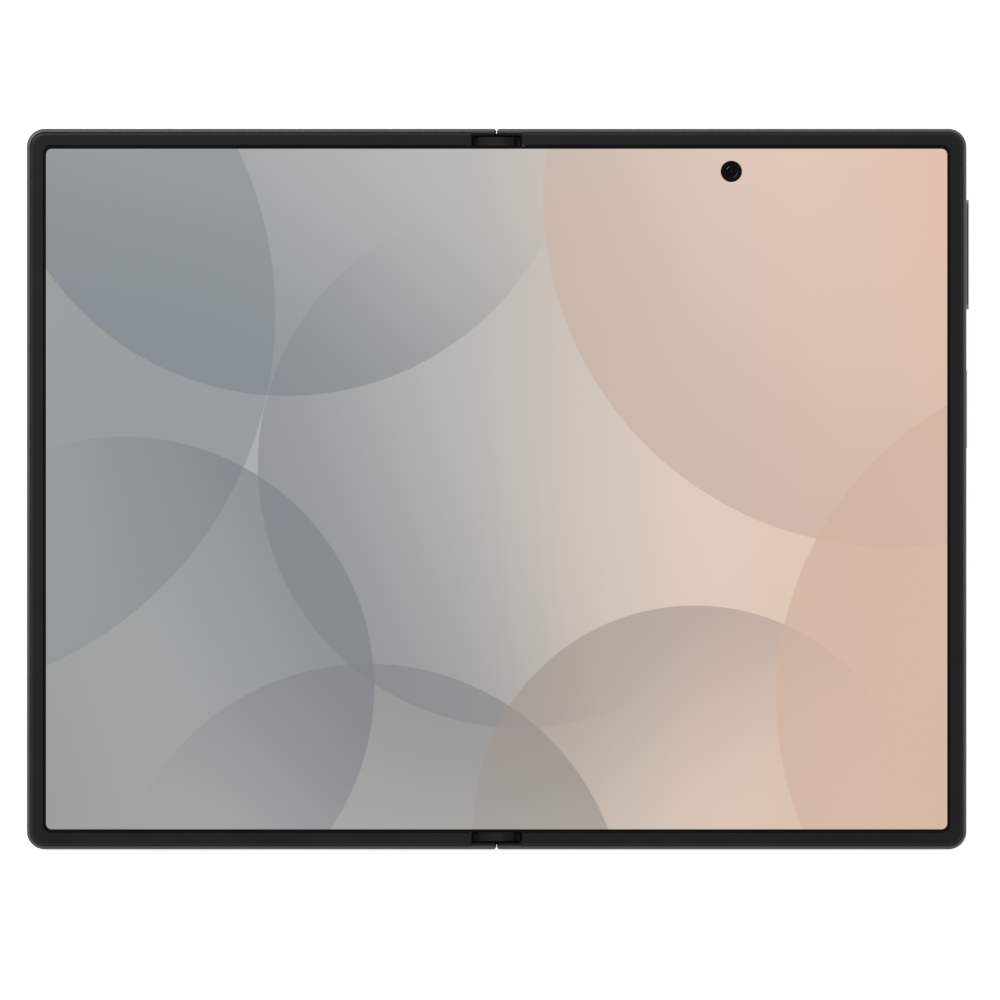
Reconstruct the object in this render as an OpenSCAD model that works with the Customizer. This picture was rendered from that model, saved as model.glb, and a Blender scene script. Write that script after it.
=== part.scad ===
// Book-style foldable phone, modelled open and flat, as an assembly of separate pieces.
// The hinge is a two-axis one: each half turns on crescent rails about its own virtual axis,
// and a train of four gears in the spine keeps the two halves together.
// Heights are measured from the back face; the whole phone is then raised by camera_bump,
// so that z = 0 is the table that the camera rings rest on.

/* [Body] */
// Width of the open phone, outer edge to outer edge
open_w = 161.4; // [160.4:0.2:164]
// Height of the phone, measured along the hinge
body_h = 123.8; // [123:0.2:127]
// Thickness of one half, back face to bezel rim
half_t = 4.9; // [4.9:0.05:5.1]
// Outer corner radius in plan
corner_r = 3.1; // [3.05:0.05:3.4]
// How far the camera rings stand out from the back face
camera_bump = 2.4; // [2.2:0.1:3]

/* [Display and rim] */
// Thickness of the folding display
display_t = 0.4; // [0.35:0.05:0.4]
// Height of the rim above the display's surface
rim_proud = 0.3; // [0.3:0.05:0.35]
// Outer edge of the phone to the inner edge of the rim
rim_w = 2.83; // [2.7:0.05:3]
// Half the gap in the rim at the hinge
rim_end_x = 4.34; // [4.3:0.02:4.5]

/* [Hinge] */
// Sideways distance of each folding axis from the middle
axis_x = 1.25; // [1.25:0.01:1.26]
// Height of the folding axes above the back face
axis_z = 3.7; // [3.69:0.01:3.7]
// Radius of the spine's rounded sides about the folding axes
spine_r = 2.8; // [2.76:0.01:2.8]
// Teeth on each of the four synchronising gears
gear_teeth = 10; // [10:2:12]

/* [Cameras] */
// Width of the rear camera island
island_w = 15.6; // [15:0.1:16]
// Length of the rear camera island
island_l = 35; // [34:0.5:36]
// Diameter of the front camera's hole in the display
punch_d = 3.67; // [3.4:0.01:4]

/* [Hidden] */

$fn = 64;
half_w = open_w / 2;
half_h = body_h / 2;
seam_x = 0.05;             // half the gap between the two halves
far = 200;                 // longer than the phone

// Layers of a half, from the back face up
glass_t = 0.55;
lip_top = 0.8;
plate_z = 3.8;             // underside of the frame's middle plate
display_z = half_t - rim_proud;
panel_z = display_z - display_t;
frame_top = display_z;

// Side band and rim, as distances in from the outer edge
band_w = 1.15;
edge_r = 0.6;
lip_w = 2.6;
display_inset = 2;
rim_lip_gap = 0.05;

// Wing plates
wing_pivot_x = 7.5;
wing_pivot_z = 3.85;
wing_roll_r = 0.35;
wing_t = 0.3;
wing_in_x = 2;
wing_notch_x = 4.7;
wing_half_l = 58.6;
fold_x = 5;                // the display bends inside this distance from the middle
fold_half_l = 58.8;

// Spine
spine_half_l = 60.5;
seam_lip_l = 61.15;        // a low lip at each end closes the seam between the halves' end walls
seam_lip_z = 1.9;
spine_wall = 0.45;
spine_clear = 0.1;
window_z = 2.6;            // the spine's side walls stop here where an arm crosses them
cap_y = 58.9;
cap_dome_r = 14;
back_wall = 0.8;

// Crescent rails of the rotary arms
rail_in_r = 1.4;
rail_out_r = 1.95;
rail_gap = 0.05;
rail_w = 4;
arm_bridge = [2.65, 3.05];
arm_plate = [1.6, 2.5];
arm_screw_x = -12.2;

// Gear train
gear_x = 2.25;
gear_z = 2.7;
gear_pitch_r = gear_x / 3;
gear_add = 0.14;
gear_w = 2.5;
shaft_r = 0.4;
shaft_gap = 0.03;
hub_r = 0.8;

// Stations of one hinge module along the hinge, measured from its inner end
module_y = 30;
module_l = 26;
left_rail_y = 1.3;
right_rail_y = 6.3;
wall_b_y = 10.8;
gears_y = 11.75;
wall_c_y = 14.4;
torsion_y = 15.3;
torsion_w = 2.8;
follower_y = 18.15;
follower_w = 1.8;
spring_y = 20.05;
spring_l = 4.9;
wall_d_y = 25.1;
wall_w = 0.8;
flex_y = [12, 26];
flex_z = 2.7;
flex_t = 0.15;

// Ports and keys
volume_y = 40.3;
volume_l = 18.8;
volume_proud = 0.5;
power_y = 13.75;
power_l = 13.3;
power_proud = 0.2;
key_w = 1.9;
key_z = 2.45;
key_slot_gap = 0.1;
crown_r = 4;               // crown of the keys' outer faces
usb_x = 40.3;
usb_z = 2.4;
usb_w = 8.34;
usb_open = 2.4;
usb_wall = 0.2;
usb_depth = 6.6;
sim_x = 40;
sim_z = 2.4;
sim_face = [15.4, 1.7];
sim_depth = 19.5;

// Antenna breaks: places along the top, the bottom and the outer side
break_w = 1;
break_top = [29.9, 56];
break_bottom = [25, 55.5];
break_side = [25.55, -22.65];

// Battery bays: the middle and the size of each cell, and the ribs that stand round it
cell_left_pos = [-46, -1, 1.1];
cell_left = [59, 72, 2.55];
cell_right_pos = [36.5, -7, 1.05];
cell_right = [41, 62, 2.6];
cell_left_tail = -10;      // each cell's flex tail, from the cell's middle
cell_right_tail = 9;
cell_tail = [4, 4.6, 0.15];
cell_edge_r = 1;
terrace = 2.4;             // sealed edge that carries the cell's protection strip
rib_gap = 0.3;
rib_t = 0.5;
rib_z = 1.2;

// Circuit boards: thickness, undersides, corner rounding, and the screw places on each
board_t = 0.6;
board_left_z = 1.7;
board_right_z = 1.9;
board_r = 1.2;
boss_d = 2.8;
board_hole_d = 1.2;
board_left_screws = [[-50.2, 44.2], [-73.9, 44.1], [-61, 57.1]];
main_board_screws = [[31.6, 57.4], [41, 31.7], [75.4, 11.9], [75.5, -34]];
board_right_screws = [[31, -43.4], [52.8, -43.4]];

// Charging coil: middle, first radius, turns, and the step and width of its strip
coil_pos = [34, -4];
coil_in_r = 9;
coil_turns = 7;
coil_pitch = 1.3;
coil_strip_w = 0.8;
coil_steps = 24;           // corners in a turn
ferrite = 38;

// Cameras
island_pos = [67, 36.5];
lens_y = 9.2;              // each rear lens from the island's middle
island_t = 0.9;
camera_tail_z = 2.65;
ring_d = 13.2;
window_d = 10;
inner_cam = [40.29, 54.53];
cover_cam = [-41.5, 53.6];
rear_base = 10.8;          // side of a rear camera's square module
earpiece = [12, 0.5];      // slot between the cover glass and the upper wall
flash_pos = [54.6, 45.7];

// ---------------------------------------------------------------- shared shapes

// Raises a piece from the back-face datum to the table datum
module place() {
    translate([0, 0, camera_bump]) children();
}

// A rectangle with true round corners
module rounded_rect(size, r) {
    square([size[0] - 2 * r, size[1]], center = true);
    square([size[0], size[1] - 2 * r], center = true);
    for (x = [-1, 1], y = [-1, 1])
        translate([x * (size[0] / 2 - r), y * (size[1] / 2 - r)]) circle(r);
}

// A slot with round ends, lying along x
module pill(length, width) {
    square([length - width, width], center = true);
    for (x = [-1, 1]) translate([x * (length - width) / 2, 0]) circle(width / 2);
}

// The left half's outline, drawn in from the outer edge and stopping short of the middle
module half_outline(inset, stop_x) {
    r = max(corner_r - inset, 0.3);
    intersection() {
        rounded_rect([open_w - 2 * inset, body_h - 2 * inset], r);
        translate([-far - stop_x, -far]) square([far, 2 * far]);
    }
}

// Sweeps a wall profile round the three outer sides of the left half.
// The profile's x is the distance in from the outer edge, and its y is the height.
module edge_sweep(stop_x) {
    side = body_h - 2 * corner_r;
    arm = half_w - corner_r - stop_x;
    translate([-half_w, side / 2, 0]) rotate([90, 0, 0]) linear_extrude(side) children();
    for (m = [0, 1]) mirror([0, m, 0]) {
        translate([-half_w + corner_r, -half_h, 0])
            rotate([90, 0, 90]) linear_extrude(arm) children();
        translate([-half_w + corner_r, -half_h + corner_r, 0])
            rotate([0, 0, 180]) rotate_extrude(angle = 90)
                translate([corner_r, 0]) mirror([1, 0]) children();
    }
}

// Draws an x-z profile and runs it along the hinge from y0 to y1
module along_hinge(y0, y1) {
    translate([0, y1, 0]) rotate([90, 0, 0]) linear_extrude(y1 - y0) children();
}

// A ring sector about the left folding axis, between two angles in the x-z plane
module crescent(r_in, r_out, a_from, a_to) {
    reach = 2 * r_out;
    mid = (a_from + a_to) / 2;
    translate([-axis_x, axis_z]) intersection() {
        difference() {
            circle(r_out);
            circle(r_in);
        }
        polygon([[0, 0],
                 reach * [cos(a_from), sin(a_from)],
                 reach * [cos((a_from + mid) / 2), sin((a_from + mid) / 2)],
                 reach * [cos(mid), sin(mid)],
                 reach * [cos((a_to + mid) / 2), sin((a_to + mid) / 2)],
                 reach * [cos(a_to), sin(a_to)]]);
    }
}

// The spine's cross-section: two round sides about the folding axes and a flat bottom
module spine_profile(r, top) {
    intersection() {
        union() {
            for (x = [-1, 1]) translate([x * axis_x, axis_z]) circle(r);
            translate([-axis_x, axis_z - r]) square([2 * axis_x, 2 * r]);
        }
        translate([-far, 0]) square([2 * far, top]);
    }
}

// Repeats a hinge module at the upper end, or at the lower end with lower = true
module at_module(lower = false) {
    mirror([0, lower ? 1 : 0, 0]) translate([0, module_y, 0]) children();
}

// Repeats its children at both hinge modules
module at_both_modules() {
    for (lower = [false, true]) at_module(lower) children();
}

// ---------------------------------------------------------------- frames

// Side band of a half: round outer edges, a ledge for the rim and a lip for the back glass
module band_profile() {
    difference() {
        union() {
            square([band_w, panel_z]);
            square([edge_r, frame_top]);
            translate([0, glass_t]) square([lip_w, lip_top - glass_t]);
        }
        for (end = [[0, 0], [frame_top, 1]]) translate([0, end[0]]) mirror([0, end[1]]) difference() {
            translate([-edge_r, -edge_r]) square(2 * edge_r);
            translate([edge_r, edge_r]) circle(edge_r);
        }
    }
}

// Rail along the hinge: the back wall under the spine, a concave face that wraps round it,
// and the seat that the wing plate's rolled edge turns in
module hinge_rail() {
    face_r = spine_r + spine_clear;
    along_hinge(-half_h + band_w, half_h - band_w) difference() {
        polygon([[-seam_x, 0], [-seam_x, back_wall], [-axis_x, back_wall], [-3.2, 2.6],
                 [-4.2, 2.75], [-6.9, 3.45], [-6.9, 3.6], [-wing_pivot_x, 3.6],
                 [-wing_pivot_x, panel_z], [-8.4, panel_z], [-8.4, 0.8], [-9, 0]]);
        translate([-axis_x, axis_z]) circle(face_r);
        translate([-wing_pivot_x, wing_pivot_z]) circle(wing_roll_r + rail_gap);
        translate([-9.5, -0.1]) square([9.5 - 3.4, glass_t + 0.1]);
    }
}

// Cuts in the hinge rail where arms and flex cables cross it; rail_y is the rotary arm's station
module hinge_rail_cuts(rail_y) {
    at_both_modules() for (station = [[rail_y, rail_w], [torsion_y, torsion_w]]) {
        translate([-13.4, station[0] - 0.15, arm_plate[0]]) cube([11.55, station[1] + 0.3, 1.35]);
        translate([-6.8, station[0] - 0.15, arm_plate[0]]) cube([4, station[1] + 0.3, 2]);
    }
    for (m = [0, 1]) mirror([0, m, 0]) translate([-16, flex_y[0] - 0.5, flex_z - 0.4])
        cube([13.1, flex_y[1] - flex_y[0] + 1, flex_t + 0.6]);
}

// Round end of the side walls at the hinge, so that the two halves roll past each other
module rolling_end() {
    for (m = [0, 1]) mirror([0, m, 0]) {
        along_hinge(half_h - lip_w, half_h + 1) difference() {
            translate([-axis_x, axis_z]) square([axis_x + 1, half_t]);
            translate([-axis_x, axis_z]) circle(axis_x - seam_x);
        }
        // rounded upright edge that shows as a small notch in the outline
        translate([-seam_x, half_h, -1]) linear_extrude(far) difference() {
            translate([-0.6, -0.6]) square([1.2, 1.2]);
            translate([-0.6, -0.6]) circle(0.6);
        }
    }
}

// Everything that the two frames share, as a left half; rail_y is the rotary arm's station
module half_frame(rail_y) {
    difference() {
        union() {
            edge_sweep(seam_x) band_profile();
            // middle plate under the display, open above the arms' screws
            translate([0, 0, plate_z]) linear_extrude(panel_z - plate_z) difference() {
                half_outline(0.9, 8.2);
                for (y = [-1, 1]) translate([-13.75, y * (module_y + 5.5)])
                    square([5.5, 12], center = true);
                // windows for the display's own flex cables, and locating holes
                for (y = [-1, 1]) translate([-24, y * 42.6]) pill(11, 3.4);
                for (x = [-34.6, -70], y = [-1, 1]) translate([x, y * 57]) circle(d = 1.5);
            }
            // the side walls rise to their full height beside the spine's end caps
            for (m = [0, 1]) mirror([0, m, 0]) translate([-rim_end_x + 0.05, half_h - band_w, plate_z])
                cube([rim_end_x - 0.05 - seam_x, band_w - edge_r + 0.1, frame_top - plate_z]);
            for (m = [0, 1]) mirror([0, m, 0])
                translate([-8.4, cap_y, plate_z]) cube([8.4 - rim_end_x, 2, panel_z - plate_z]);
            hinge_rail();
            // rib that closes the battery bay towards the hinge, and the glass's ledge beside it
            along_hinge(-half_h + band_w, half_h - band_w) union() {
                translate([-14.4, lip_top]) square([0.8, plate_z - lip_top]);
                translate([-14.4, glass_t]) square([6.4, lip_top - glass_t]);
            }
            // pads that the rotary arms are screwed down on
            at_both_modules() translate([-13.7, rail_y - 0.9, glass_t])
                cube([5.4, rail_w + 1.8, arm_plate[0] - glass_t]);
        }
        hinge_rail_cuts(rail_y);
        rolling_end();
        // room in the end walls for the lips of the spine
        for (m = [0, 1]) mirror([0, m, 0])
            along_hinge(half_h - band_w - 0.1, seam_lip_l + spine_clear)
                spine_profile(spine_r + spine_clear, seam_lip_z + 0.6);
        arm_screw_places(rail_y) translate([0, 0, -0.65]) cylinder(d = 0.7, h = 3);
        antenna_breaks();
    }
}

// Screw places on the rotary arms of the left half, for an arm at rail_y
module arm_screw_places(rail_y) {
    at_both_modules() for (y = [1, 3]) translate([arm_screw_x, rail_y + y, arm_plate[0]]) children();
}

// Plastic breaks across the metal band, as a left half
module antenna_breaks() {
    difference() {
        union() {
            for (m = [0, 1], x = m ? break_bottom : break_top) mirror([0, m, 0])
                translate([-x, half_h, frame_top / 2]) cube([break_w, 2 * band_w, far], center = true);
            for (y = break_side)
                translate([-half_w, y, frame_top / 2]) cube([2 * band_w, break_w, far], center = true);
        }
        // only the outer part of the band is cut, so the frame stays in one piece
        translate([0, 0, -far / 2]) linear_extrude(far) half_outline(0.7, -1);
    }
}

// Rib with round corners that stands round a bay, down from the middle plate
module bay_rib(size) {
    inner = size + 2 * rib_gap * [1, 1];
    outer = inner + 2 * rib_t * [1, 1];
    translate([0, 0, rib_z]) linear_extrude(plate_z - rib_z + 0.1) difference() {
        rounded_rect(outer, 2 + rib_t);
        rounded_rect(inner, 2);
    }
}

// The bay of a battery and of the terrace on its upper edge, with a gate for its flex tail
module cell_bay(pos, cell, tail_x) {
    difference() {
        translate([pos[0], pos[1] + terrace / 2, 0]) bay_rib([cell[0], cell[1] + terrace]);
        translate([pos[0] + tail_x - cell_tail[0] / 2 - 0.2, pos[1] + cell[1] / 2, rib_z - 0.1])
            cube([cell_tail[0] + 0.4, 2 * terrace, pos[2] + cell[2] / 2 + 0.7 - rib_z]);
    }
}

// Screw bosses that reach down from the middle plate to a board's upper face
module bosses(places, board_z) {
    foot = board_z + board_t;
    for (at = places) translate([at[0], at[1], foot]) difference() {
        cylinder(d = boss_d, h = plate_z - foot + 0.1);
        translate([0, 0, -0.1]) cylinder(d = 0.8, h = 1.1);
    }
}

module frame_left() {
    color([0.30, 0.31, 0.34]) difference() {
        union() {
            half_frame(left_rail_y);
            cell_bay(cell_left_pos, cell_left, cell_left_tail);
            bosses(board_left_screws, board_left_z);
        }
        // sim tray slot in the lower wall
        translate([-sim_x, -half_h, sim_z]) rotate([90, 0, 0])
            linear_extrude(3.2, center = true) pill(sim_face[0] + 0.1, sim_face[1] + 0.1);
        grille(-21, 4);
        translate([-48, -half_h + 1, key_z]) rotate([90, 0, 0]) cylinder(d = 0.6, h = 4);
        hinge_rail_cuts(left_rail_y);
        // earpiece slot through the lip that the cover glass rests on
        translate([cover_cam[0], half_h - band_w - earpiece[1] / 2, 0])
            linear_extrude(2 * lip_top, center = true) pill(earpiece[0] - 1, earpiece[1]);
    }
}

module frame_right() {
    color([0.30, 0.31, 0.34]) difference() {
        union() {
            mirror([1, 0, 0]) half_frame(right_rail_y);
            cell_bay(cell_right_pos, cell_right, cell_right_tail);
            bosses(main_board_screws, board_right_z);
            bosses(board_right_screws, board_right_z);
            // cage round the two rear cameras
            translate([island_pos[0], island_pos[1], 0])
                bay_rib([rear_base, 2 * lens_y + rear_base] + [0.6, 0.6]);
        }
        mirror([1, 0, 0]) hinge_rail_cuts(right_rail_y);
        // the cameras' flex tails leave the cage here
        at_lenses() translate([-rear_base / 2 - 1.6, -2.3, camera_tail_z - 0.15]) cube([2, 4.6, 0.45]);
        translate([usb_x, -half_h, usb_z]) rotate([90, 0, 0])
            linear_extrude(2 * lip_w, center = true)
                pill(usb_w + 2 * usb_wall + 0.04, usb_open + 2 * usb_wall + 0.04);
        mirror([0, 1, 0]) grille(63, 5);
        // microphones in the upper and lower walls
        for (y = [-1, 1]) translate([49.5, y * (half_h - 1), key_z])
            rotate([-90 * y, 0, 0]) cylinder(d = 0.6, h = 4);
        key_slot(volume_y, volume_l);
        key_slot(power_y, power_l);
        // the front camera looks out through the middle plate
        translate([inner_cam[0], inner_cam[1], plate_z - 0.5]) cylinder(d = 4.2, h = 2);
    }
}

// Row of upright pill-shaped holes in the upper wall, centred at x
module grille(x, count) {
    for (i = [0 : count - 1])
        translate([x + (i - (count - 1) / 2) * 2.2, half_h, key_z]) rotate([90, 90, 0])
            linear_extrude(3, center = true) pill(1.8, 1.1);
}

// Slot for a side key in the outer wall of the right half
module key_slot(y, length) {
    translate([half_w, y, key_z]) rotate([90, 0, 90])
        linear_extrude(3, center = true) pill(length + 2 * key_slot_gap, key_w + 2 * key_slot_gap);
}

module antenna_breaks_left() {
    color([0.17, 0.17, 0.19]) break_inserts();
}

module antenna_breaks_right() {
    color([0.17, 0.17, 0.19]) mirror([1, 0, 0]) break_inserts();
}

// The plastic that fills the breaks, flush with the metal
module break_inserts() {
    intersection() {
        antenna_breaks();
        edge_sweep(seam_x) band_profile();
    }
}

// ---------------------------------------------------------------- rims and display

// Raised bezel: a round shoulder at the outside, and a lip over the display's border
module rim() {
    shoulder_r = 0.55;
    difference() {
        union() {
            edge_sweep(rim_end_x) difference() {
                translate([edge_r + 0.04, panel_z])
                    square([display_inset - edge_r - 0.14, half_t - panel_z]);
                difference() {
                    translate([edge_r - 0.1, half_t - shoulder_r]) square(shoulder_r + 0.14);
                    translate([edge_r + 0.04 + shoulder_r, half_t - shoulder_r]) circle(shoulder_r);
                }
            }
            translate([0, 0, display_z + rim_lip_gap])
                linear_extrude(rim_proud - rim_lip_gap) half_outline(1.5, rim_end_x);
        }
        translate([0, 0, panel_z - 1]) linear_extrude(3)
            rounded_rect([open_w - 2 * rim_w, body_h - 2 * rim_w], 1.4);
    }
}

module rim_left() {
    color([0.13, 0.13, 0.14]) rim();
}

module rim_right() {
    color([0.13, 0.13, 0.14]) mirror([1, 0, 0]) rim();
}

// The display's rigid area on one half: wider under the rim, narrower where it meets the fold
module display_half() {
    translate([0, 0, panel_z]) linear_extrude(display_t) difference() {
        half_outline(display_inset, fold_x);
        for (y = [-1, 1]) translate([-rim_end_x - 1.2, y * (fold_half_l + 1)])
            square([2.4, 2], center = true);
    }
}

module display_left() {
    color([0.62, 0.64, 0.62]) display_half();
}

module display_right() {
    color([0.84, 0.73, 0.65]) difference() {
        mirror([1, 0, 0]) display_half();
        translate([inner_cam[0], inner_cam[1], 0]) cylinder(d = punch_d, h = 2 * half_t);
    }
}

// The strip of display that bends
module display_fold() {
    color([0.74, 0.70, 0.66]) translate([-fold_x, -fold_half_l, panel_z + 0.1])
        cube([2 * fold_x, 2 * fold_half_l, display_t - 0.1]);
}

// Thin steel plate behind the bending strip, with staggered rows of slots that let it flex
module fold_backplate() {
    pitch = 9.6;
    slot = [0.35, 8.2];
    color("silver") translate([0, 0, panel_z]) linear_extrude(0.1) difference() {
        square([2 * fold_x, 2 * fold_half_l], center = true);
        for (row = [-2 : 2], i = [-6 : 6])
            if (abs(i * pitch + (row % 2) * pitch / 2) < fold_half_l - slot[1] / 2)
                translate([row * 0.9, i * pitch + (row % 2) * pitch / 2]) square(slot, center = true);
    }
}

// ---------------------------------------------------------------- back covers and cameras

module back_glass(stop_x) {
    linear_extrude(glass_t) half_outline(band_w + 0.05, stop_x);
}

module cover_glass() {
    color([0.03, 0.03, 0.035]) difference() {
        back_glass(3.45);
        // earpiece slot in its upper edge
        translate([cover_cam[0], half_h - band_w - earpiece[1] / 2, -1])
            linear_extrude(2) pill(earpiece[0], earpiece[1]);
    }
}

// Outer display's panel, behind the cover glass
module cover_panel() {
    color([0.06, 0.06, 0.07]) translate([0, 0, glass_t]) linear_extrude(0.45) difference() {
        translate([-46.4, 0]) rounded_rect([62.4, 113], 2);
        translate(cover_cam) circle(d = 4);
    }
}

module cover_camera() {
    color([0.05, 0.05, 0.06]) translate([cover_cam[0], cover_cam[1], glass_t]) {
        cylinder(d = 3.6, h = 1.2);
        translate([0, 0, 1]) cylinder(d = 4.8, h = 0.4);
        small_camera_base(6, 1.2, 1.6);
    }
}

// Square base of a small camera with round corners, a raised cap and a flex tail to its left
module small_camera_base(side, z, height) {
    translate([0, 0, z]) {
        linear_extrude(height - 0.2) rounded_rect([side, side], 0.7);
        linear_extrude(height) rounded_rect([side - 0.8, side - 0.8], 0.5);
    }
    translate([-side / 2 - 2.6, -1.4, z + 0.1]) cube([2.8, 2.8, 0.15]);
}

module rear_glass() {
    color([0.24, 0.25, 0.28]) difference() {
        mirror([1, 0, 0]) back_glass(3.45);
        translate([island_pos[0], island_pos[1], -1]) rotate([0, 0, 90])
            linear_extrude(2) pill(island_l - 1.5, island_w - 1.5);
        translate([flash_pos[0], flash_pos[1], -1]) cylinder(d = 3.5, h = 2);
    }
}

// Rear lens places
module at_lenses() {
    for (y = [-1, 1]) translate([island_pos[0], island_pos[1] + y * lens_y, 0]) children();
}

// Pill-shaped deck that carries the camera rings, with a round edge
module camera_island() {
    round_r = 0.5;
    color([0.20, 0.21, 0.23]) difference() {
        union() {
            translate([island_pos[0], island_pos[1], -island_t]) rotate([0, 0, 90])
                linear_extrude(island_t - 0.02) pill(island_l, island_w);
            translate([island_pos[0], island_pos[1], -0.1]) rotate([0, 0, 90])
                linear_extrude(glass_t + 0.1) pill(island_l - 1.6, island_w - 1.6);
        }
        // round lower edge, straight sides and ends
        translate([island_pos[0], island_pos[1], -island_t]) rotate([0, 0, 90])
            pill_edge_round(island_l, island_w, round_r);
        at_lenses() translate([0, 0, -2]) cylinder(d = window_d + 1.2, h = 4);
    }
}

// What is cut away to round the lower edge of a pill-shaped plate
module pill_edge_round(length, width, r) {
    side = length - width;
    for (end = [0, 1]) mirror([end, 0, 0]) translate([side / 2, 0, 0]) rotate([0, 0, -90])
        rotate_extrude(angle = 180) edge_cutter(width / 2, r);
    for (edge = [0, 1]) mirror([0, edge, 0])
        translate([-side / 2, 0, 0]) rotate([90, 0, 90]) linear_extrude(side) edge_cutter(width / 2, r);
}

module edge_cutter(reach, r) {
    difference() {
        translate([reach - r, -r]) square(2 * r);
        translate([reach - r, r]) circle(r);
    }
}

module camera_rings() {
    color([0.32, 0.33, 0.36]) at_lenses() rotate_extrude() difference() {
        translate([window_d / 2 + 0.05, -camera_bump])
            square([ring_d / 2 - window_d / 2 - 0.05, camera_bump - island_t]);
        translate([ring_d / 2 - 0.4, -camera_bump]) difference() {
            translate([0, -0.4]) square(0.8);
            translate([0, 0.4]) circle(0.4);
        }
        // inner face slopes towards the lens
        polygon([[window_d / 2, -camera_bump - 0.01], [window_d / 2 + 0.65, -camera_bump - 0.01],
                 [window_d / 2 + 0.01, -camera_bump + 0.5]]);
    }
}

module camera_windows() {
    color([0.1, 0.11, 0.13]) at_lenses() translate([0, 0, -camera_bump + 0.35])
        cylinder(d = window_d, h = 0.5);
}

// Rear camera: a stepped lens barrel on a square module
module rear_camera(barrel_d, lens_d) {
    translate([0, 0, -camera_bump + 1.1]) difference() {
        cylinder(d = barrel_d, h = 2.3);
        translate([0, 0, -0.01]) cylinder(d1 = lens_d + 1.6, d2 = lens_d, h = 0.5);
    }
    translate([0, 0, -camera_bump + 1.45]) cylinder(d = lens_d - 0.3, h = 0.5);
    // square module with round corners, a stepped cap, and a flex tail towards the board
    translate([0, 0, 0.9]) {
        linear_extrude(2.5) rounded_rect([rear_base, rear_base], 1);
        linear_extrude(2.8) rounded_rect([rear_base - 1, rear_base - 1], 0.8);
    }
    translate([-rear_base / 2 - 3.2, -2, camera_tail_z]) cube([3.4, 4, 0.15]);
}

module main_camera() {
    color([0.08, 0.08, 0.09]) translate([island_pos[0], island_pos[1] + lens_y, 0]) rear_camera(9.4, 5.6);
}

module wide_camera() {
    color([0.08, 0.08, 0.09]) translate([island_pos[0], island_pos[1] - lens_y, 0]) rear_camera(9.4, 4.2);
}

module flash_led() {
    color([0.95, 0.92, 0.75]) translate([flash_pos[0], flash_pos[1], 0]) {
        cylinder(d = 3.4, h = glass_t - 0.1);
        translate([0, 0, glass_t - 0.2]) cylinder(d = 2.8, h = 0.3);
        translate([0, 0, glass_t]) linear_extrude(0.5) rounded_rect([3, 3], 0.4);
    }
}

// Front camera behind the display's hole
module inner_camera() {
    color([0.05, 0.05, 0.06]) translate([inner_cam[0], inner_cam[1], 1.1]) {
        small_camera_base(6.4, 0, 2.1);
        cylinder(d = 3.9, h = 2.95);
        difference() {
            cylinder(d = 3.3, h = panel_z + 0.15 - 1.1);
            translate([0, 0, panel_z - 1.1 - 0.05]) cylinder(d1 = 1.4, d2 = 2.6, h = 0.21);
        }
    }
}

// ---------------------------------------------------------------- inside the halves

// Pouch cell: soft long edges, a thin sealed terrace with the protection strip on it,
// and a flex tail that ends in a plug
module battery(cell, tail_x) {
    middle = cell[2] / 2;
    intersection() {
        linear_extrude(cell[2]) rounded_rect([cell[0], cell[1]], 2);
        translate([0, 0, middle]) rotate([90, 0, 0])
            linear_extrude(cell[1], center = true) rounded_rect([cell[0], cell[2]], cell_edge_r);
    }
    translate([0, cell[1] / 2 + terrace / 2 - 0.3, middle - 0.1])
        linear_extrude(0.2) rounded_rect([cell[0] - 6, terrace], 0.8);
    translate([0, cell[1] / 2 + terrace / 2 + 0.1, middle])
        linear_extrude(0.8) rounded_rect([cell[0] - 14, terrace - 0.7], 0.4);
    translate([tail_x - cell_tail[0] / 2, cell[1] / 2 + terrace - 0.6, middle + 0.3]) cube(cell_tail);
}

module battery_left() {
    color([0.15, 0.15, 0.16]) translate(cell_left_pos) battery(cell_left, cell_left_tail);
}

module battery_right() {
    color([0.15, 0.15, 0.16]) translate(cell_right_pos) battery(cell_right, cell_right_tail);
}

// Shield can [x, y, length, width, height]: a fence with round corners, and a pressed lid
// that steps out over it
module shield_can(can) {
    translate([can[0] + can[2] / 2, can[1] + can[3] / 2, board_t]) {
        linear_extrude(can[4]) rounded_rect([can[2] - 0.4, can[3] - 0.4], 0.5);
        translate([0, 0, can[4] - 0.5]) linear_extrude(0.35) rounded_rect([can[2], can[3]], 0.7);
    }
}

// Plug [x, y, length] for a flex cable: a low block with a groove along it
module flex_plug(plug) {
    translate([plug[0], plug[1], board_t]) difference() {
        linear_extrude(0.7) rounded_rect([2.2, plug[2]], 0.3);
        translate([0, 0, 0.35]) linear_extrude(1) rounded_rect([0.8, plug[2] - 1], 0.2);
    }
}

// Circuit board: the outline given as a 2-D child, with cans and plugs on its upper face,
// cans on its lower face, and plain screw holes
module circuit_board(cans, plugs, cans_below, screws) {
    difference() {
        union() {
            linear_extrude(board_t) children();
            for (can = cans) shield_can(can);
            for (plug = plugs) flex_plug(plug);
            mirror([0, 0, 1]) translate([0, 0, -board_t]) for (can = cans_below) shield_can(can);
        }
        for (at = screws) translate([at[0], at[1], -1]) cylinder(d = board_hole_d, h = 3);
    }
}

module sub_board_left() {
    cans = [[-74, 46.5, 12, 9, 1.1], [-60, 47, 7.4, 8, 0.9]];
    plugs = [[-57.6, 44.6, 3.4], [-53.4, 44.6, 3.4]];
    cans_below = [[-72, 46, 14, 9, 0.6]];
    color([0.05, 0.22, 0.16]) translate([0, 0, board_left_z])
        circuit_board(cans, plugs, cans_below, board_left_screws) difference() {
            translate([-62, 50.5]) rounded_rect([28, 17], board_r);
            translate([-47.5, 57.5]) circle(d = 6);
        }
}

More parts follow.
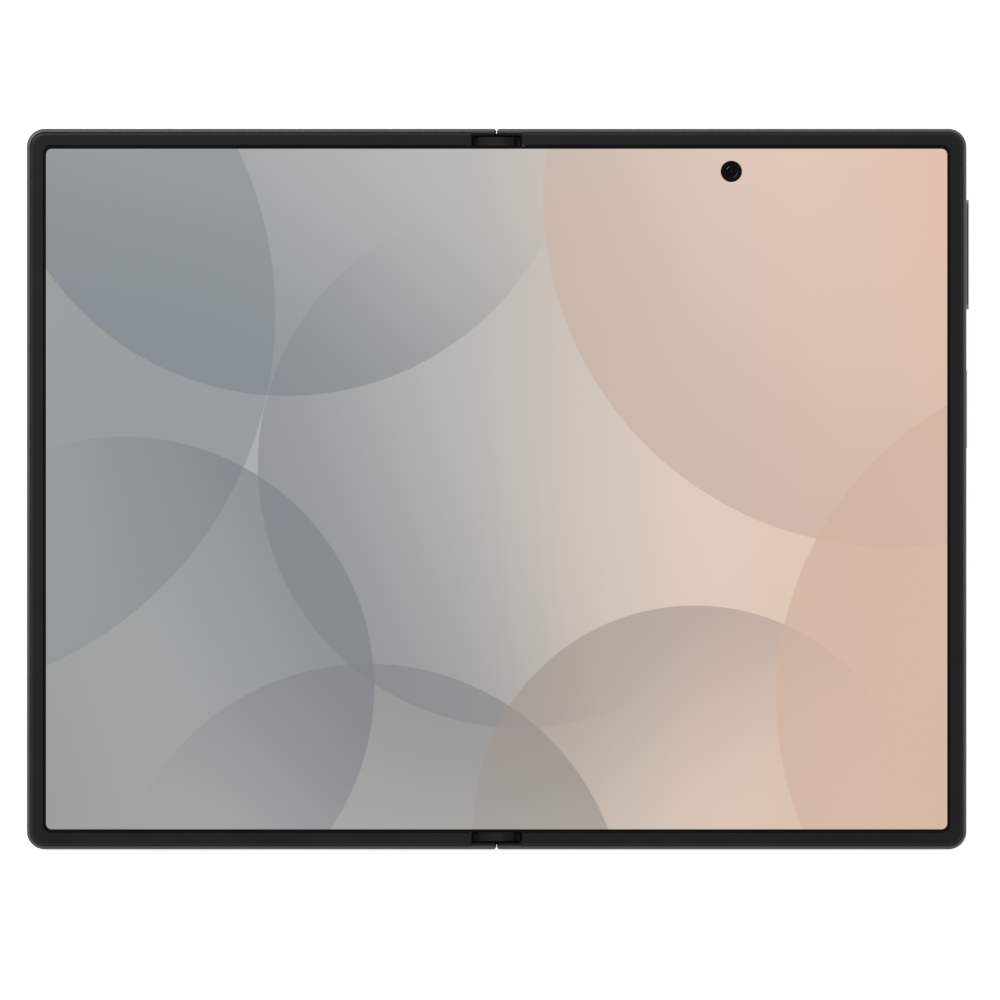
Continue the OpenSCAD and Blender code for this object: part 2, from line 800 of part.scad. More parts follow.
module main_board() {
    cans = [[17, 32, 19, 14, 1], [17, 48, 12, 9, 1], [45.5, 33.4, 9, 10, 0.9],
            [60, -10, 14, 20, 1], [60, -32, 14, 18, 0.9]];
    plugs = [[38.4, 36, 6], [38.4, 44.4, 6], [33.4, 51, 5], [49, 50, 7], [53, 51.8, 7], [75.8, 2, 8]];
    // processor and memory
    cans_below = [[18, 33, 16, 16, 0.9], [61, -30, 13, 34, 0.9]];
    color([0.05, 0.22, 0.16]) translate([0, 0, board_right_z])
        circuit_board(cans, plugs, cans_below, main_board_screws) difference() {
            union() {
                translate([37.25, 44.5]) rounded_rect([43.5, 30], board_r);
                translate([67.9, -11]) rounded_rect([18.6, 50], board_r);
                translate([58.2, 2]) square([1.7, 29]);
                translate([57.9, 29.5]) square([2, 2.5]);
            }
            // clear of the front camera and the flash
            translate([inner_cam[0], inner_cam[1] + 6]) rounded_rect([6.8, 18.8], 0.8);
            translate(flash_pos) rounded_rect([3.6, 3.6], 0.5);
            // half-round notch that locates the board
            translate([15.5, 46.8]) circle(d = 1.6);
        }
}

module sub_board_right() {
    cans = [[18, -56, 10, 9, 1.1]];
    plugs = [[36, -47.5, 8], [47.4, -51, 6]];
    color([0.05, 0.22, 0.16]) translate([0, 0, board_right_z])
        circuit_board(cans, plugs, [], board_right_screws) difference() {
            translate([35.5, -50.05]) rounded_rect([39, 17.5], board_r);
            // the USB socket sinks into this bay
            translate([usb_x, -half_h + usb_depth / 2]) rounded_rect([9.2, usb_depth + 0.4], 0.5);
        }
}

// Slim speaker box: round corners, a raised chamber, a round driver seen from below,
// a screw lug, and an open duct that meets the grille in the wall
module speaker_box(size) {
    step = 0.4;
    middle = [size[0] / 2, size[1] / 2];
    difference() {
        union() {
            translate([middle[0], middle[1], 0]) linear_extrude(size[2] - step)
                rounded_rect([size[0], size[1]], 1.2);
            translate([middle[0], middle[1] - 0.8, 0]) linear_extrude(size[2])
                rounded_rect([size[0] - 1.6, size[1] - 3.2], 1);
            translate([1.5, size[1] - 0.1, step]) cube([size[0] - 3, 1.3, size[2] - 2 * step]);
            translate([middle[0], -0.6, 0]) cylinder(d = 2.6, h = 0.8);
        }
        translate([2, size[1] - 1, 2 * step]) cube([size[0] - 4, 3, size[2] - 4 * step]);
        translate([middle[0], middle[1] - 0.8, -1]) cylinder(d = 8.6, h = 1.25);
        translate([middle[0], -0.9, -1]) cylinder(d = 1, h = 3);
    }
}

module speaker_left() {
    color([0.1, 0.1, 0.11]) translate([-27.5, 45.6, 1.1]) speaker_box([12.6, 13.8, 2.5]);
}

module loudspeaker() {
    color([0.1, 0.1, 0.11]) mirror([0, 1, 0]) translate([56.4, 42.5, 1.05]) speaker_box([14.6, 16.9, 2.6]);
}

// Linear vibration motor: a pressed can on a longer base plate, with its flex tongue
module vibration_motor() {
    color([0.55, 0.56, 0.58]) translate([-67.5, -52.8, 1.2]) {
        linear_extrude(0.3) rounded_rect([15, 5], 0.6);
        linear_extrude(2.4) rounded_rect([13, 6.4], 1);
        translate([-2, 3, 0]) cube([4, 2.6, 0.15]);
    }
}

// Flat coil for wireless charging: one spiral of copper strip under a ferrite sheet,
// with a flex tail that runs up to the main board
module charging_coil() {
    strip_t = 0.25;
    sheet_t = 0.1;
    color([0.72, 0.45, 0.2]) translate([coil_pos[0], coil_pos[1], glass_t + 0.05]) {
        linear_extrude(strip_t) polygon(concat(spiral(-coil_strip_w / 2),
                                               reversed(spiral(coil_strip_w / 2))));
        translate([0, 0, strip_t]) linear_extrude(sheet_t) union() {
            rounded_rect([ferrite, ferrite], 3);
            translate([-2, ferrite / 2 - 1]) square([4, 18]);
        }
    }
}

// One edge of the coil's strip, drawn in or out from its middle line
function spiral(shift) = [for (i = [0 : coil_turns * coil_steps])
    let (turn = 360 * i / coil_steps, r = coil_in_r + coil_pitch * i / coil_steps + shift)
        r * [cos(turn), sin(turn)]];

function reversed(list) = [for (i = [len(list) - 1 : -1 : 0]) list[i]];

// Block magnet against the inner face of the outer wall, with soft edges
module wall_magnet(y) {
    translate([-half_w + band_w + 0.1, y, 2.4]) rotate([90, 0, 90])
        linear_extrude(1.3) rounded_rect([10, 2], 0.4);
}

module magnets_left() {
    color("silver") for (y = [-47, 44]) wall_magnet(y);
}

module magnets_right() {
    color("silver") mirror([1, 0, 0]) for (y = [-47, -28]) wall_magnet(y);
}

// Metal cage that the sim tray slides into, with a window over each card's contacts
module sim_reader() {
    depth = sim_depth + 0.6;
    wide = 13.6;
    color("silver") translate([-sim_x, -half_h + 1.35, sim_z - 0.75]) difference() {
        translate([-wide / 2 - 0.4, 0.1, -0.25]) cube([wide + 0.8, depth, 2]);
        translate([-wide / 2, -1, -0.05]) cube([wide, depth + 0.7, 1.6]);
        translate([-1.2, 9, 0]) linear_extrude(far, center = true) rounded_rect([8, 9], 0.8);
        translate([0, depth + 0.1, 0]) linear_extrude(far, center = true) pill(7, 2.4);
    }
}

// Sim tray: face plate with an ejector hole, and a thin carrier with a card opening
module sim_tray() {
    color([0.30, 0.31, 0.34]) {
        difference() {
            translate([-sim_x, -half_h, sim_z]) rotate([-90, 0, 0])
                linear_extrude(1.1) pill(sim_face[0], sim_face[1]);
            translate([-sim_x + 6, -half_h - 1, sim_z]) rotate([-90, 0, 0]) cylinder(d = 0.8, h = 3);
        }
        translate([-sim_x - 6.6, -half_h + 1, sim_z - 0.45]) linear_extrude(0.9) difference() {
            square([13.2, sim_depth - 1]);
            translate([5.4, 10.3]) rounded_rect([9, 12.6], 0.6);
            translate([11.5, 10.3]) rounded_rect([1.8, 12.6], 0.3);
            // chamfered inner corners lead the tray into its cage
            for (x = [0, 13.2]) translate([x, sim_depth - 1]) rotate([0, 0, 45]) square(1.4, center = true);
        }
    }
}

// ---------------------------------------------------------------- ports and keys

// USB-C socket: a deep-drawn shell, with the tongue standing in its mouth
module usb_port() {
    tongue = [6.69, 0.7];
    color([0.7, 0.7, 0.72]) translate([usb_x, -half_h, usb_z]) rotate([-90, 0, 0]) {
        difference() {
            linear_extrude(usb_depth) pill(usb_w + 2 * usb_wall, usb_open + 2 * usb_wall);
            translate([0, 0, -1]) linear_extrude(usb_depth) pill(usb_w, usb_open);
        }
        translate([-tongue[0] / 2, -tongue[1] / 2, 0.9]) cube([tongue[0], tongue[1], usb_depth - 1.4]);
    }
    // ears that hold the shell down on the board
    color([0.7, 0.7, 0.72]) for (side = [0, 1]) translate([usb_x, -half_h + 4.6, board_right_z + board_t])
        mirror([side, 0, 0]) translate([5.2, 0, 0]) linear_extrude(0.25) rounded_rect([2.2, 2.2], 0.5);
}

// Bar of a side key, with round ends and a crowned outer face
module key_bar(length, proud) {
    intersection() {
        translate([-1.05, 0, 0]) rotate([90, 0, 90]) linear_extrude(1.05 + proud) pill(length, key_w);
        translate([proud - crown_r, 0, 0]) rotate([90, 0, 0])
            cylinder(r = crown_r, h = length, center = true);
    }
}

module volume_key() {
    // rocks about its middle, so only the middle is held behind the wall
    color([0.30, 0.31, 0.34]) translate([half_w, volume_y, key_z]) {
        key_bar(volume_l, volume_proud);
        translate([-1.26, -3, -0.6]) cube([0.4, 6, 1.2]);
        translate([-1.45, -3, -1.35]) cube([0.2, 6, 2.7]);
        for (y = [-1, 1]) translate([-1.35, y * 6.5, 0]) rotate([0, 90, 0]) cylinder(d = 1, h = 0.5);
    }
}

module power_key() {
    color([0.30, 0.31, 0.34]) translate([half_w, power_y, key_z]) {
        difference() {
            key_bar(power_l, power_proud);
            // shallow pad of the fingerprint sensor, following the crown
            difference() {
                translate([-0.5, 0, 0]) rotate([90, 0, 90])
                    linear_extrude(1.5) pill(power_l - 1.4, key_w - 0.7);
                translate([power_proud - crown_r, 0, 0]) rotate([90, 0, 0])
                    cylinder(r = crown_r - 0.06, h = power_l, center = true);
            }
        }
        translate([-1.4, -4, -0.6]) cube([0.5, 8, 1.2]);
        translate([-1.6, -5, -1.35]) cube([0.25, 10, 2.7]);
    }
}

// Side-key circuit: a thin strip with three dome switches
module key_switches() {
    color([0.75, 0.5, 0.2]) translate([half_w - 2.5, 0, key_z]) {
        translate([-0.2, (power_y + volume_y) / 2 + 2, 0]) rotate([90, 0, 90])
            linear_extrude(0.2) rounded_rect([volume_y - power_y + 12, 2.2], 0.5);
        for (y = [volume_y - 6.5, volume_y + 6.5])
            translate([0, y, 0]) rotate([0, 90, 0]) cylinder(d = 2, h = 0.9);
        translate([0, power_y, 0]) rotate([0, 90, 0]) cylinder(d = 2, h = 0.6);
    }
}

// ---------------------------------------------------------------- hinge: spine and its base

// Cover of the spine: the rounded strip that shows between the halves when the phone is shut
module spine_cover() {
    color([0.28, 0.29, 0.32]) difference() {
        union() {
            along_hinge(-spine_half_l, spine_half_l) spine_profile(spine_r, axis_z);
            along_hinge(-seam_lip_l, seam_lip_l) spine_profile(spine_r, seam_lip_z);
        }
        along_hinge(-cap_y, cap_y) spine_profile(spine_r - spine_wall, far);
        // the arms and the flex cables cross the side walls here
        for (m = [0, 1], n = [0, 1]) mirror([m, 0, 0]) mirror([0, n, 0]) {
            translate([-5, flex_y[0] - 0.5, window_z]) cube([3, flex_y[1] - flex_y[0] + 1, 3]);
            translate([-5, module_y + (m ? right_rail_y : left_rail_y) - 0.4, window_z])
                cube([3, rail_w + 0.8, 3]);
            translate([-5, module_y + torsion_y - 0.3, window_z]) cube([3, torsion_w + 0.6, 3]);
        }
    }
}

// The slot that a crescent rail runs in, for the left rail
module rail_slot() {
    along_hinge(left_rail_y - rail_gap, left_rail_y + rail_w + rail_gap) {
        crescent(rail_in_r - rail_gap, rail_out_r + rail_gap, -136, 8);
        // open to the left above the slot's outer wall, for the arm to swing out
        crescent(rail_in_r - rail_gap, 3.4, -226, -134);
    }
}

// Base of one hinge module: rail blocks, gear walls and the spring's end wall on one floor
module hinge_base() {
    body_r = spine_r - spine_wall - 0.05;
    difference() {
        union() {
            along_hinge(0, module_l) spine_profile(body_r, axis_z - body_r + 0.3);
            along_hinge(0.4, wall_b_y + wall_w) spine_profile(body_r, axis_z);
            along_hinge(wall_c_y, wall_c_y + wall_w) spine_profile(body_r, axis_z - 0.1);
            along_hinge(wall_d_y, module_l) spine_profile(body_r, axis_z - 0.1);
        }
        rail_slot();
        mirror([1, 0, 0]) translate([0, right_rail_y - left_rail_y, 0]) rail_slot();
        // bores for the two gear shafts and the two idler pins
        for (x = [-3, -1, 1, 3]) translate([x * gear_pitch_r, 0, gear_z]) rotate([-90, 0, 0])
            translate([0, 0, wall_b_y - 0.4])
                cylinder(r = shaft_r + shaft_gap, h = wall_c_y + 1.6 - wall_b_y);
        for (x = [-3, 3]) translate([x * gear_pitch_r, 0, gear_z]) rotate([-90, 0, 0])
            translate([0, 0, wall_d_y - 1]) cylinder(r = shaft_r + shaft_gap, h = 3);
    }
}

module hinge_base_upper() {
    color([0.55, 0.56, 0.58]) at_module() hinge_base();
}

module hinge_base_lower() {
    color([0.55, 0.56, 0.58]) at_module(true) hinge_base();
}

// Domed caps that close the spine's two ends between the rims
module hinge_caps() {
    color([0.14, 0.14, 0.15]) for (m = [0, 1]) mirror([0, m, 0])
        along_hinge(cap_y, spine_half_l - 0.1) intersection() {
            translate([-3, axis_z]) square([6, half_t - axis_z]);
            translate([0, half_t - 0.05 - cap_dome_r]) circle(cap_dome_r);
        }
}

// Fixed strip under the middle of the display, standing on the hinge bases
module centre_rail() {
    color([0.6, 0.61, 0.63]) {
        translate([-1.7, -fold_half_l + 0.1, panel_z - 0.3]) cube([3.4, 2 * fold_half_l - 0.2, 0.3]);
        for (m = [0, 1]) mirror([0, m, 0]) {
            translate([-0.6, module_y + 0.5, axis_z]) cube([1.2, 11, panel_z - 0.2 - axis_z]);
            translate([-0.6, module_y + wall_d_y, axis_z - 0.1])
                cube([1.2, 0.9, panel_z - 0.2 - axis_z + 0.1]);
        }
    }
}

// Flex cables that carry the signals across the hinge, one at each side of the middle
module hinge_flex_cables() {
    route = [[-15.2, flex_z], [-3.05, flex_z], [-1.9, 1.9], [1.9, 1.9], [3.05, flex_z], [15.2, flex_z]];
    count = len(route);
    color([0.75, 0.45, 0.15]) for (m = [0, 1]) mirror([0, m, 0])
        along_hinge(flex_y[0], flex_y[1])
            polygon(concat(route, [for (i = [count - 1 : -1 : 0]) route[i] + [0, flex_t]]));
}

// ---------------------------------------------------------------- hinge: moving pieces

// Arm that carries the left half: a crescent rail, a thin bridge over the spine's wall,
// and a plate that is screwed to the frame
module rotary_arm() {
    difference() {
        union() {
            // the rail is cut level above the bridge, and just below the axis at its free end
            along_hinge(left_rail_y, left_rail_y + rail_w) intersection() {
                crescent(rail_in_r, rail_out_r, -172, -5);
                polygon([[-far, 0], [-far, arm_bridge[1] + 0.08], [-axis_x, arm_bridge[1] + 0.08],
                         [-axis_x, axis_z - 0.1], [far, axis_z - 0.1], [far, 0]]);
            }
            along_hinge(left_rail_y, left_rail_y + rail_w)
                polygon([[-2.75, arm_bridge[0]], [-4.6, arm_bridge[0]], [-4.6, arm_plate[0] + 0.3],
                         [-4.9, arm_plate[0]], [-13, arm_plate[0]],
                         [-13, arm_plate[1]], [-8.6, arm_plate[1]],
                         [-6.6, arm_bridge[1] - 0.2], [-5.6, arm_bridge[1]], [-2.75, arm_bridge[1]]]);
        }
        for (y = [1, 3]) translate([arm_screw_x, left_rail_y + y, 0]) {
            cylinder(d = 0.8, h = half_t);
            translate([0, 0, arm_plate[1] - 0.3]) cylinder(d = 1.5, h = 1);
        }
    }
}

// The right half's arm is the left one mirrored, at its own station along the hinge
module right_rotary_arm() {
    translate([0, right_rail_y - left_rail_y, 0]) mirror([1, 0, 0]) rotary_arm();
}

module rotary_arm_left_upper() {
    color([0.45, 0.46, 0.48]) at_module() rotary_arm();
}

module rotary_arm_left_lower() {
    color([0.45, 0.46, 0.48]) at_module(true) rotary_arm();
}

module rotary_arm_right_upper() {
    color([0.45, 0.46, 0.48]) at_module() right_rotary_arm();
}

module rotary_arm_right_lower() {
    color([0.45, 0.46, 0.48]) at_module(true) right_rotary_arm();
}

module arm_screw() {
    translate([0, 0, -0.6]) cylinder(d = 0.66, h = arm_plate[1] - arm_plate[0] + 0.35);
    translate([0, 0, arm_plate[1] - arm_plate[0] - 0.28]) difference() {
        cylinder(d = 1.4, h = 0.25);
        translate([0, 0, 0.12]) cylinder(d = 0.6, h = 0.3, $fn = 6);
    }
}

module arm_screws_left() {
    color("silver") arm_screw_places(left_rail_y) arm_screw();
}

module arm_screws_right() {
    color("silver") mirror([1, 0, 0]) arm_screw_places(right_rail_y) arm_screw();
}

// Spur gear, with a tooth (phase 0) or a gap (phase 1) on its +x side
module gear(phase) {
    step = 360 / gear_teeth;
    root_r = gear_pitch_r - gear_add - 0.03;
    tip_r = gear_pitch_r + gear_add - 0.02;
    half_tooth = 1.4 * gear_pitch_r / gear_teeth;
    circle(root_r);
    for (i = [0 : gear_teeth - 1]) rotate((i + phase / 2) * step)
        polygon([[root_r - 0.1, -1.5 * half_tooth], [gear_pitch_r, -half_tooth], [tip_r, -half_tooth / 2],
                 [tip_r, half_tooth / 2], [gear_pitch_r, half_tooth], [root_r - 0.1, 1.5 * half_tooth]]);
}

// Torsion arm of the left half: a gear shaft with a cam hub, and a finger that slides in the half.
// phase 0 puts a tooth of its gear on the idler's side, and phase 1 a gap.
module torsion_arm(phase) {
    translate([-gear_x, 0, gear_z]) rotate([-90, 0, 0]) {
        translate([0, 0, wall_b_y - 0.35]) cylinder(r = shaft_r, h = module_l - wall_b_y + 0.3);
        translate([0, 0, gears_y]) linear_extrude(gear_w) gear(phase);
        translate([0, 0, torsion_y]) cylinder(r = hub_r, h = torsion_w - 0.6);
        cam(torsion_y + torsion_w - 0.65, 0);
    }
    along_hinge(torsion_y, torsion_y + torsion_w - 0.6) {
        translate([-4.9, gear_z]) square([4.9 - gear_x - 0.3, 0.38]);
        polygon([[-4.7, gear_z + 0.38], [-4.7, 2.15], [-8.2, 2.15], [-8.2, gear_z - 0.1],
                 [-6.6, gear_z + 0.1], [-5.8, gear_z + 0.38]]);
    }
}

// Two-lobed face cam on a shaft, at a height along it
module cam(z, turn) {
    translate([0, 0, z]) rotate([0, 0, turn]) intersection() {
        difference() {
            cylinder(r = hub_r, h = 0.6);
            translate([0, 0, -1]) cylinder(r = shaft_r - 0.1, h = 3);
        }
        union() {
            translate([-1, -0.3, 0]) cube([2, 0.6, 0.6]);
            translate([-1, -1, 0]) cube([2, 2, 0.1]);
        }
    }
}

module torsion_arm_left_upper() {
    color([0.5, 0.48, 0.42]) at_module() torsion_arm(0);
}

module torsion_arm_left_lower() {
    color([0.5, 0.48, 0.42]) at_module(true) torsion_arm(0);
}

module torsion_arm_right_upper() {
    color([0.5, 0.48, 0.42]) at_module() mirror([1, 0, 0]) torsion_arm(1);
}

module torsion_arm_right_lower() {
    color([0.5, 0.48, 0.42]) at_module(true) mirror([1, 0, 0]) torsion_arm(1);
}

// Idler gear and its pin, between a shaft gear and the other idler. The tooth count is even,
// so a gear has the same phase on both sides: gaps on the left idler and teeth on the right one.
module idler(side, phase) {
    translate([side * gear_pitch_r, 0, gear_z]) rotate([-90, 0, 0]) {
        translate([0, 0, wall_b_y + 0.1]) cylinder(r = shaft_r, h = wall_c_y + wall_w - wall_b_y - 0.2);
        translate([0, 0, gears_y]) linear_extrude(gear_w) gear(phase);
    }
}

module idler_gears_left() {
    color([0.62, 0.55, 0.35]) at_both_modules() idler(-1, 1);
}

module idler_gears_right() {
    color([0.62, 0.55, 0.35]) at_both_modules() idler(1, 0);
}

// Cam followers: plates that slide on both shafts and don't turn
module cam_followers() {
    color([0.45, 0.46, 0.48]) at_both_modules() difference() {
        union() {
            for (x = [-gear_x, gear_x]) translate([x, 0, gear_z]) rotate([-90, 0, 0])
                translate([0, 0, follower_y]) cylinder(r = hub_r, h = follower_w);
            translate([-gear_x, follower_y, gear_z - 0.5]) cube([2 * gear_x, follower_w, 1]);
        }
        for (x = [-gear_x, gear_x]) translate([x, 0, gear_z]) rotate([-90, 0, 0]) {
            translate([0, 0, follower_y - 1]) cylinder(r = shaft_r + shaft_gap, h = follower_w + 2);
            // notches that the cam's lobes drop into when the phone is open or shut
            for (turn = [0, 90]) rotate([0, 0, turn]) translate([-1, -0.35, follower_y - 0.1])
                cube([2, 0.7, 0.5]);
        }
    }
}

// Centre of ring i along a compression spring's wire
function spring_centre(i) = let (turn = 360 * i / spring_rings_per_turn) [
    spring_coil_r * cos(turn),
    spring_coil_r * sin(turn),
    spring_wire_r + (spring_l - 2 * spring_wire_r) * i / (spring_turns * spring_rings_per_turn)
];

// Compression spring on a shaft, as one unbroken tube of round wire
module spring() {
    sides = 6;
    rings = spring_turns * spring_rings_per_turn;
    points = [for (i = [0 : rings], s = [0 : sides - 1])
        let (a = 360 * i / spring_rings_per_turn, b = 360 * s / sides)
            spring_centre(i) + spring_wire_r * [cos(b) * cos(a), cos(b) * sin(a), sin(b)]];
    walls = [for (i = [0 : rings - 1], s = [0 : sides - 1])
        let (p = i * sides + s, q = i * sides + (s + 1) % sides)
            each [[p, p + sides, q + sides], [p, q + sides, q]]];
    start = [for (s = [1 : sides - 2]) [0, s, s + 1]];
    last = rings * sides;
    end = [for (s = [1 : sides - 2]) [last, last + s + 1, last + s]];
    polyhedron(points, concat(walls, start, end));
}

spring_coil_r = 0.62;
spring_wire_r = 0.16;
spring_turns = 6;
spring_rings_per_turn = 8;
spring_gaps = [for (i = [0 : (spring_turns - 1) * spring_rings_per_turn])
    norm(spring_centre(i) - spring_centre(i + spring_rings_per_turn)) - 2 * spring_wire_r];
echo(str("least gap between a spring's turns: ", min(spring_gaps), " mm"));

module hinge_springs() {
    color("silver") at_both_modules() for (x = [-gear_x, gear_x])
        translate([x, spring_y, gear_z]) rotate([-90, 0, 0])
            spring();
}

// Wing plate: holds the display up over the spine when open, and sinks to make room as it shuts
module wing() {
    difference() {
        union() {
            along_hinge(-wing_half_l, wing_half_l) {
                translate([-wing_pivot_x, wing_pivot_z]) circle(wing_roll_r);
                translate([-wing_pivot_x, panel_z - wing_t])
                    square([wing_pivot_x - wing_in_x, wing_t]);
            }
        }
        at_both_modules() for (station = [[left_rail_y, rail_w], [torsion_y, torsion_w]])
            translate([-wing_notch_x, station[0] - 0.4, 0]) cube([4, station[1] + 0.8, 2 * half_t]);
        // slots that lighten the plate
        for (m = [0, 1], y = [7, 18, 53]) mirror([0, m, 0]) translate([-5.6, y, 0])
            rotate([0, 0, 90]) linear_extrude(2 * half_t) pill(8, 1.4);
    }
}

module wing_left() {
    color([0.5, 0.51, 0.53]) wing();
}

module wing_right() {
    // its notches sit at the right half's stations
    color([0.5, 0.51, 0.53]) mirror([1, 0, 0]) difference() {
        wing();
        at_both_modules() translate([-wing_notch_x, right_rail_y - 0.4, 0])
            cube([4, rail_w + 0.8, 2 * half_t]);
    }
}

place() frame_left();
place() rim_left();
place() display_left();
place() cover_glass();
place() cover_panel();
place() cover_camera();
place() battery_left();
place() sub_board_left();
place() speaker_left();
place() vibration_motor();
place() sim_reader();
place() sim_tray();
place() magnets_left();
place() antenna_breaks_left();
place() arm_screws_left();
place() rotary_arm_left_upper();
place() rotary_arm_left_lower();
place() frame_right();
place() rim_right();
place() display_right();
place() rear_glass();
place() camera_island();
place() camera_rings();
place() camera_windows();
place() main_camera();
place() wide_camera();
place() flash_led();
place() inner_camera();
place() main_board();
place() battery_right();
place() sub_board_right();
place() usb_port();
place() loudspeaker();
place() charging_coil();
place() magnets_right();
place() antenna_breaks_right();
place() arm_screws_right();
place() rotary_arm_right_upper();
place() rotary_arm_right_lower();
place() volume_key();
place() power_key();
place() key_switches();
place() spine_cover();
place() hinge_base_upper();
place() hinge_base_lower();
place() hinge_caps();
place() centre_rail();
place() display_fold();
place() fold_backplate();
place() hinge_flex_cables();
place() cam_followers();
place() hinge_springs();
place() torsion_arm_left_upper();
place() torsion_arm_left_lower();
place() torsion_arm_right_upper();
place() torsion_arm_right_lower();
place() idler_gears_left();
place() idler_gears_right();
place() wing_left();
place() wing_right();
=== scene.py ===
import math
import random

import bmesh
import bpy
from mathutils import Matrix, Vector
from mathutils.bvhtree import BVHTree


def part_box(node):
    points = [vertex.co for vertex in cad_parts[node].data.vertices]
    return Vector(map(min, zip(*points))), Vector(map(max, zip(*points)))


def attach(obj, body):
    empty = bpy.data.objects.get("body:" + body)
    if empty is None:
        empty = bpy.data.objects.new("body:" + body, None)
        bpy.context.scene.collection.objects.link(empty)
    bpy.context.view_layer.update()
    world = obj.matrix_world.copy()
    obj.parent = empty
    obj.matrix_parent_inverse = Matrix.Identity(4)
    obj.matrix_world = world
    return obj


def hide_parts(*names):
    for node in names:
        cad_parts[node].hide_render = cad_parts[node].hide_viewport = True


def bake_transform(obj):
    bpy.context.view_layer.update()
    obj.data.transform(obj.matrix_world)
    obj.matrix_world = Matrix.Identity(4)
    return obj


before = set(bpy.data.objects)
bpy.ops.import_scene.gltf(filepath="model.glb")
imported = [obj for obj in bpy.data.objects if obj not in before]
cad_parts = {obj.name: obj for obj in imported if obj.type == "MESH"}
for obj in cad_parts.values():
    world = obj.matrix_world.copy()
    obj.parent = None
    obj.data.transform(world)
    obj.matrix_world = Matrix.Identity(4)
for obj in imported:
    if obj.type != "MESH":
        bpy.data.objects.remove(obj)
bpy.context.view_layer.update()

MM = 0.001


# ---- Camera ----
# The phone is seen from straight above its lit inner display, top edge up, from far enough away
# that its sides stay hidden. The view is 171.66 mm wide at the display's surface.
def placed(name, data):
    """A new object in the scene, at the origin."""
    body = bpy.data.objects.new(name, data)
    bpy.context.scene.collection.objects.link(body)
    return body


view_wide, display_top = 171.66, 7.0
lens_mm, film_mm = 250.0, 36.0
camera_data = bpy.data.cameras.new("camera")
camera_data.lens = lens_mm
camera_data.sensor_width = film_mm
camera_data.clip_start = 0.05
camera_data.clip_end = 20
camera = placed("camera", camera_data)
camera.location = (0.584 * MM, -1.880 * MM, (display_top + view_wide * lens_mm / film_mm) * MM)
bpy.context.scene.camera = camera
bpy.context.scene.view_settings.view_transform = "Standard"


# ---- Table, background and lights ----
# A pale matte table in a white room. The large key light stands high behind the phone's top left
# corner, as in a product studio, and the ceiling is dim so that the black glass stays black.
def lamp(name, place, size, power):
    """A soft box that points at the phone."""
    data = bpy.data.lights.new(name, "AREA")
    data.shape = "RECTANGLE"
    data.size, data.size_y = size
    data.energy = power
    body = placed(name, data)
    body.location = place
    body.rotation_euler = (-Vector(place)).to_track_quat("-Z", "Y").to_euler()


lamp("key_light", (-0.62, 0.74, 1.10), (0.8, 0.6), 12.5)
lamp("fill_light", (1.0, 0.30, 0.95), (0.8, 0.8), 0.9)
lamp("low_light", (0.1, -0.9, 1.1), (1.0, 0.5), 0.6)


def add_node(tree, kind, inputs=(), output=0, **settings):
    """Adds a node and gives back one of its outputs. An input is a plain value or another node's output."""
    node = tree.nodes.new(kind)
    for key, value in settings.items():
        setattr(node, key, value)
    for key, value in dict(inputs).items():
        if isinstance(value, bpy.types.NodeSocket):
            tree.links.new(value, node.inputs[key])
        else:
            node.inputs[key].default_value = value
    return node.outputs[output] if node.outputs else None


def seen_directly(tree):
    """1 for what the camera, a reflection or a clear glass sees, 0 for light that falls on things."""
    ray = add_node(tree, "ShaderNodeLightPath").node.outputs
    seen = ray["Is Camera Ray"]
    for other in ("Is Glossy Ray", "Is Transmission Ray"):
        seen = add_node(tree, "ShaderNodeMath", {0: seen, 1: ray[other]}, operation="MAXIMUM")
    return seen


def ramp(tree, value, interpolation, stops):
    """A colour for each value from 0 to 1, between the colours at the stops."""
    colour = add_node(tree, "ShaderNodeValToRGB", {0: value})
    scale = colour.node.color_ramp
    scale.interpolation = interpolation
    while len(scale.elements) < len(stops):
        scale.elements.new(0.5)
    for element, (at, shade) in zip(scale.elements, stops):
        element.position = at
        element.color = (*shade, 1)
    return colour


world = bpy.data.worlds.new("room")
bpy.context.scene.world = world
world.use_nodes = True
room = world.node_tree
room.nodes.clear()
direction = add_node(room, "ShaderNodeTexCoord", output="Generated")
height = add_node(room, "ShaderNodeSeparateXYZ", {0: direction}, "Z")
dim_ceiling = ramp(room, height, "EASE", ((0.55, (1.0, 1.0, 1.0)), (0.93, (0.09, 0.09, 0.09))))
seen_room = add_node(room, "ShaderNodeBackground", {"Color": dim_ceiling, "Strength": 1.0})
lighting_room = add_node(room, "ShaderNodeBackground", {"Color": (0.97, 0.985, 1.0, 1), "Strength": 0.42})
both_rooms = add_node(room, "ShaderNodeMixShader", {0: seen_directly(room), 1: lighting_room, 2: seen_room})
add_node(room, "ShaderNodeOutputWorld", {"Surface": both_rooms})

table_mesh = bpy.data.meshes.new("table_top")
table_mesh.from_pydata([(-3, -3, 0), (3, -3, 0), (3, 3, 0), (-3, 3, 0)], [], [(0, 1, 2, 3)])
table_top = placed("table_top", table_mesh)
pale_paper = bpy.data.materials.new("pale_paper")
pale_paper.use_nodes = True
paper = pale_paper.node_tree
paper.nodes.clear()
matte = add_node(paper, "ShaderNodeBsdfDiffuse", {"Color": (0.80, 0.80, 0.80, 1)})
glow = add_node(paper, "ShaderNodeEmission", {"Strength": 0.75})
white = add_node(paper, "ShaderNodeAddShader", {0: matte, 1: glow})
seen_paper = add_node(paper, "ShaderNodeMixShader", {0: seen_directly(paper), 1: matte, 2: white})
from_below = add_node(paper, "ShaderNodeNewGeometry", output="Backfacing")
clear = add_node(paper, "ShaderNodeBsdfTransparent")
one_way = add_node(paper, "ShaderNodeMixShader", {0: from_below, 1: seen_paper, 2: clear})
add_node(paper, "ShaderNodeOutputMaterial", {"Surface": one_way})
table_mesh.materials.append(pale_paper)


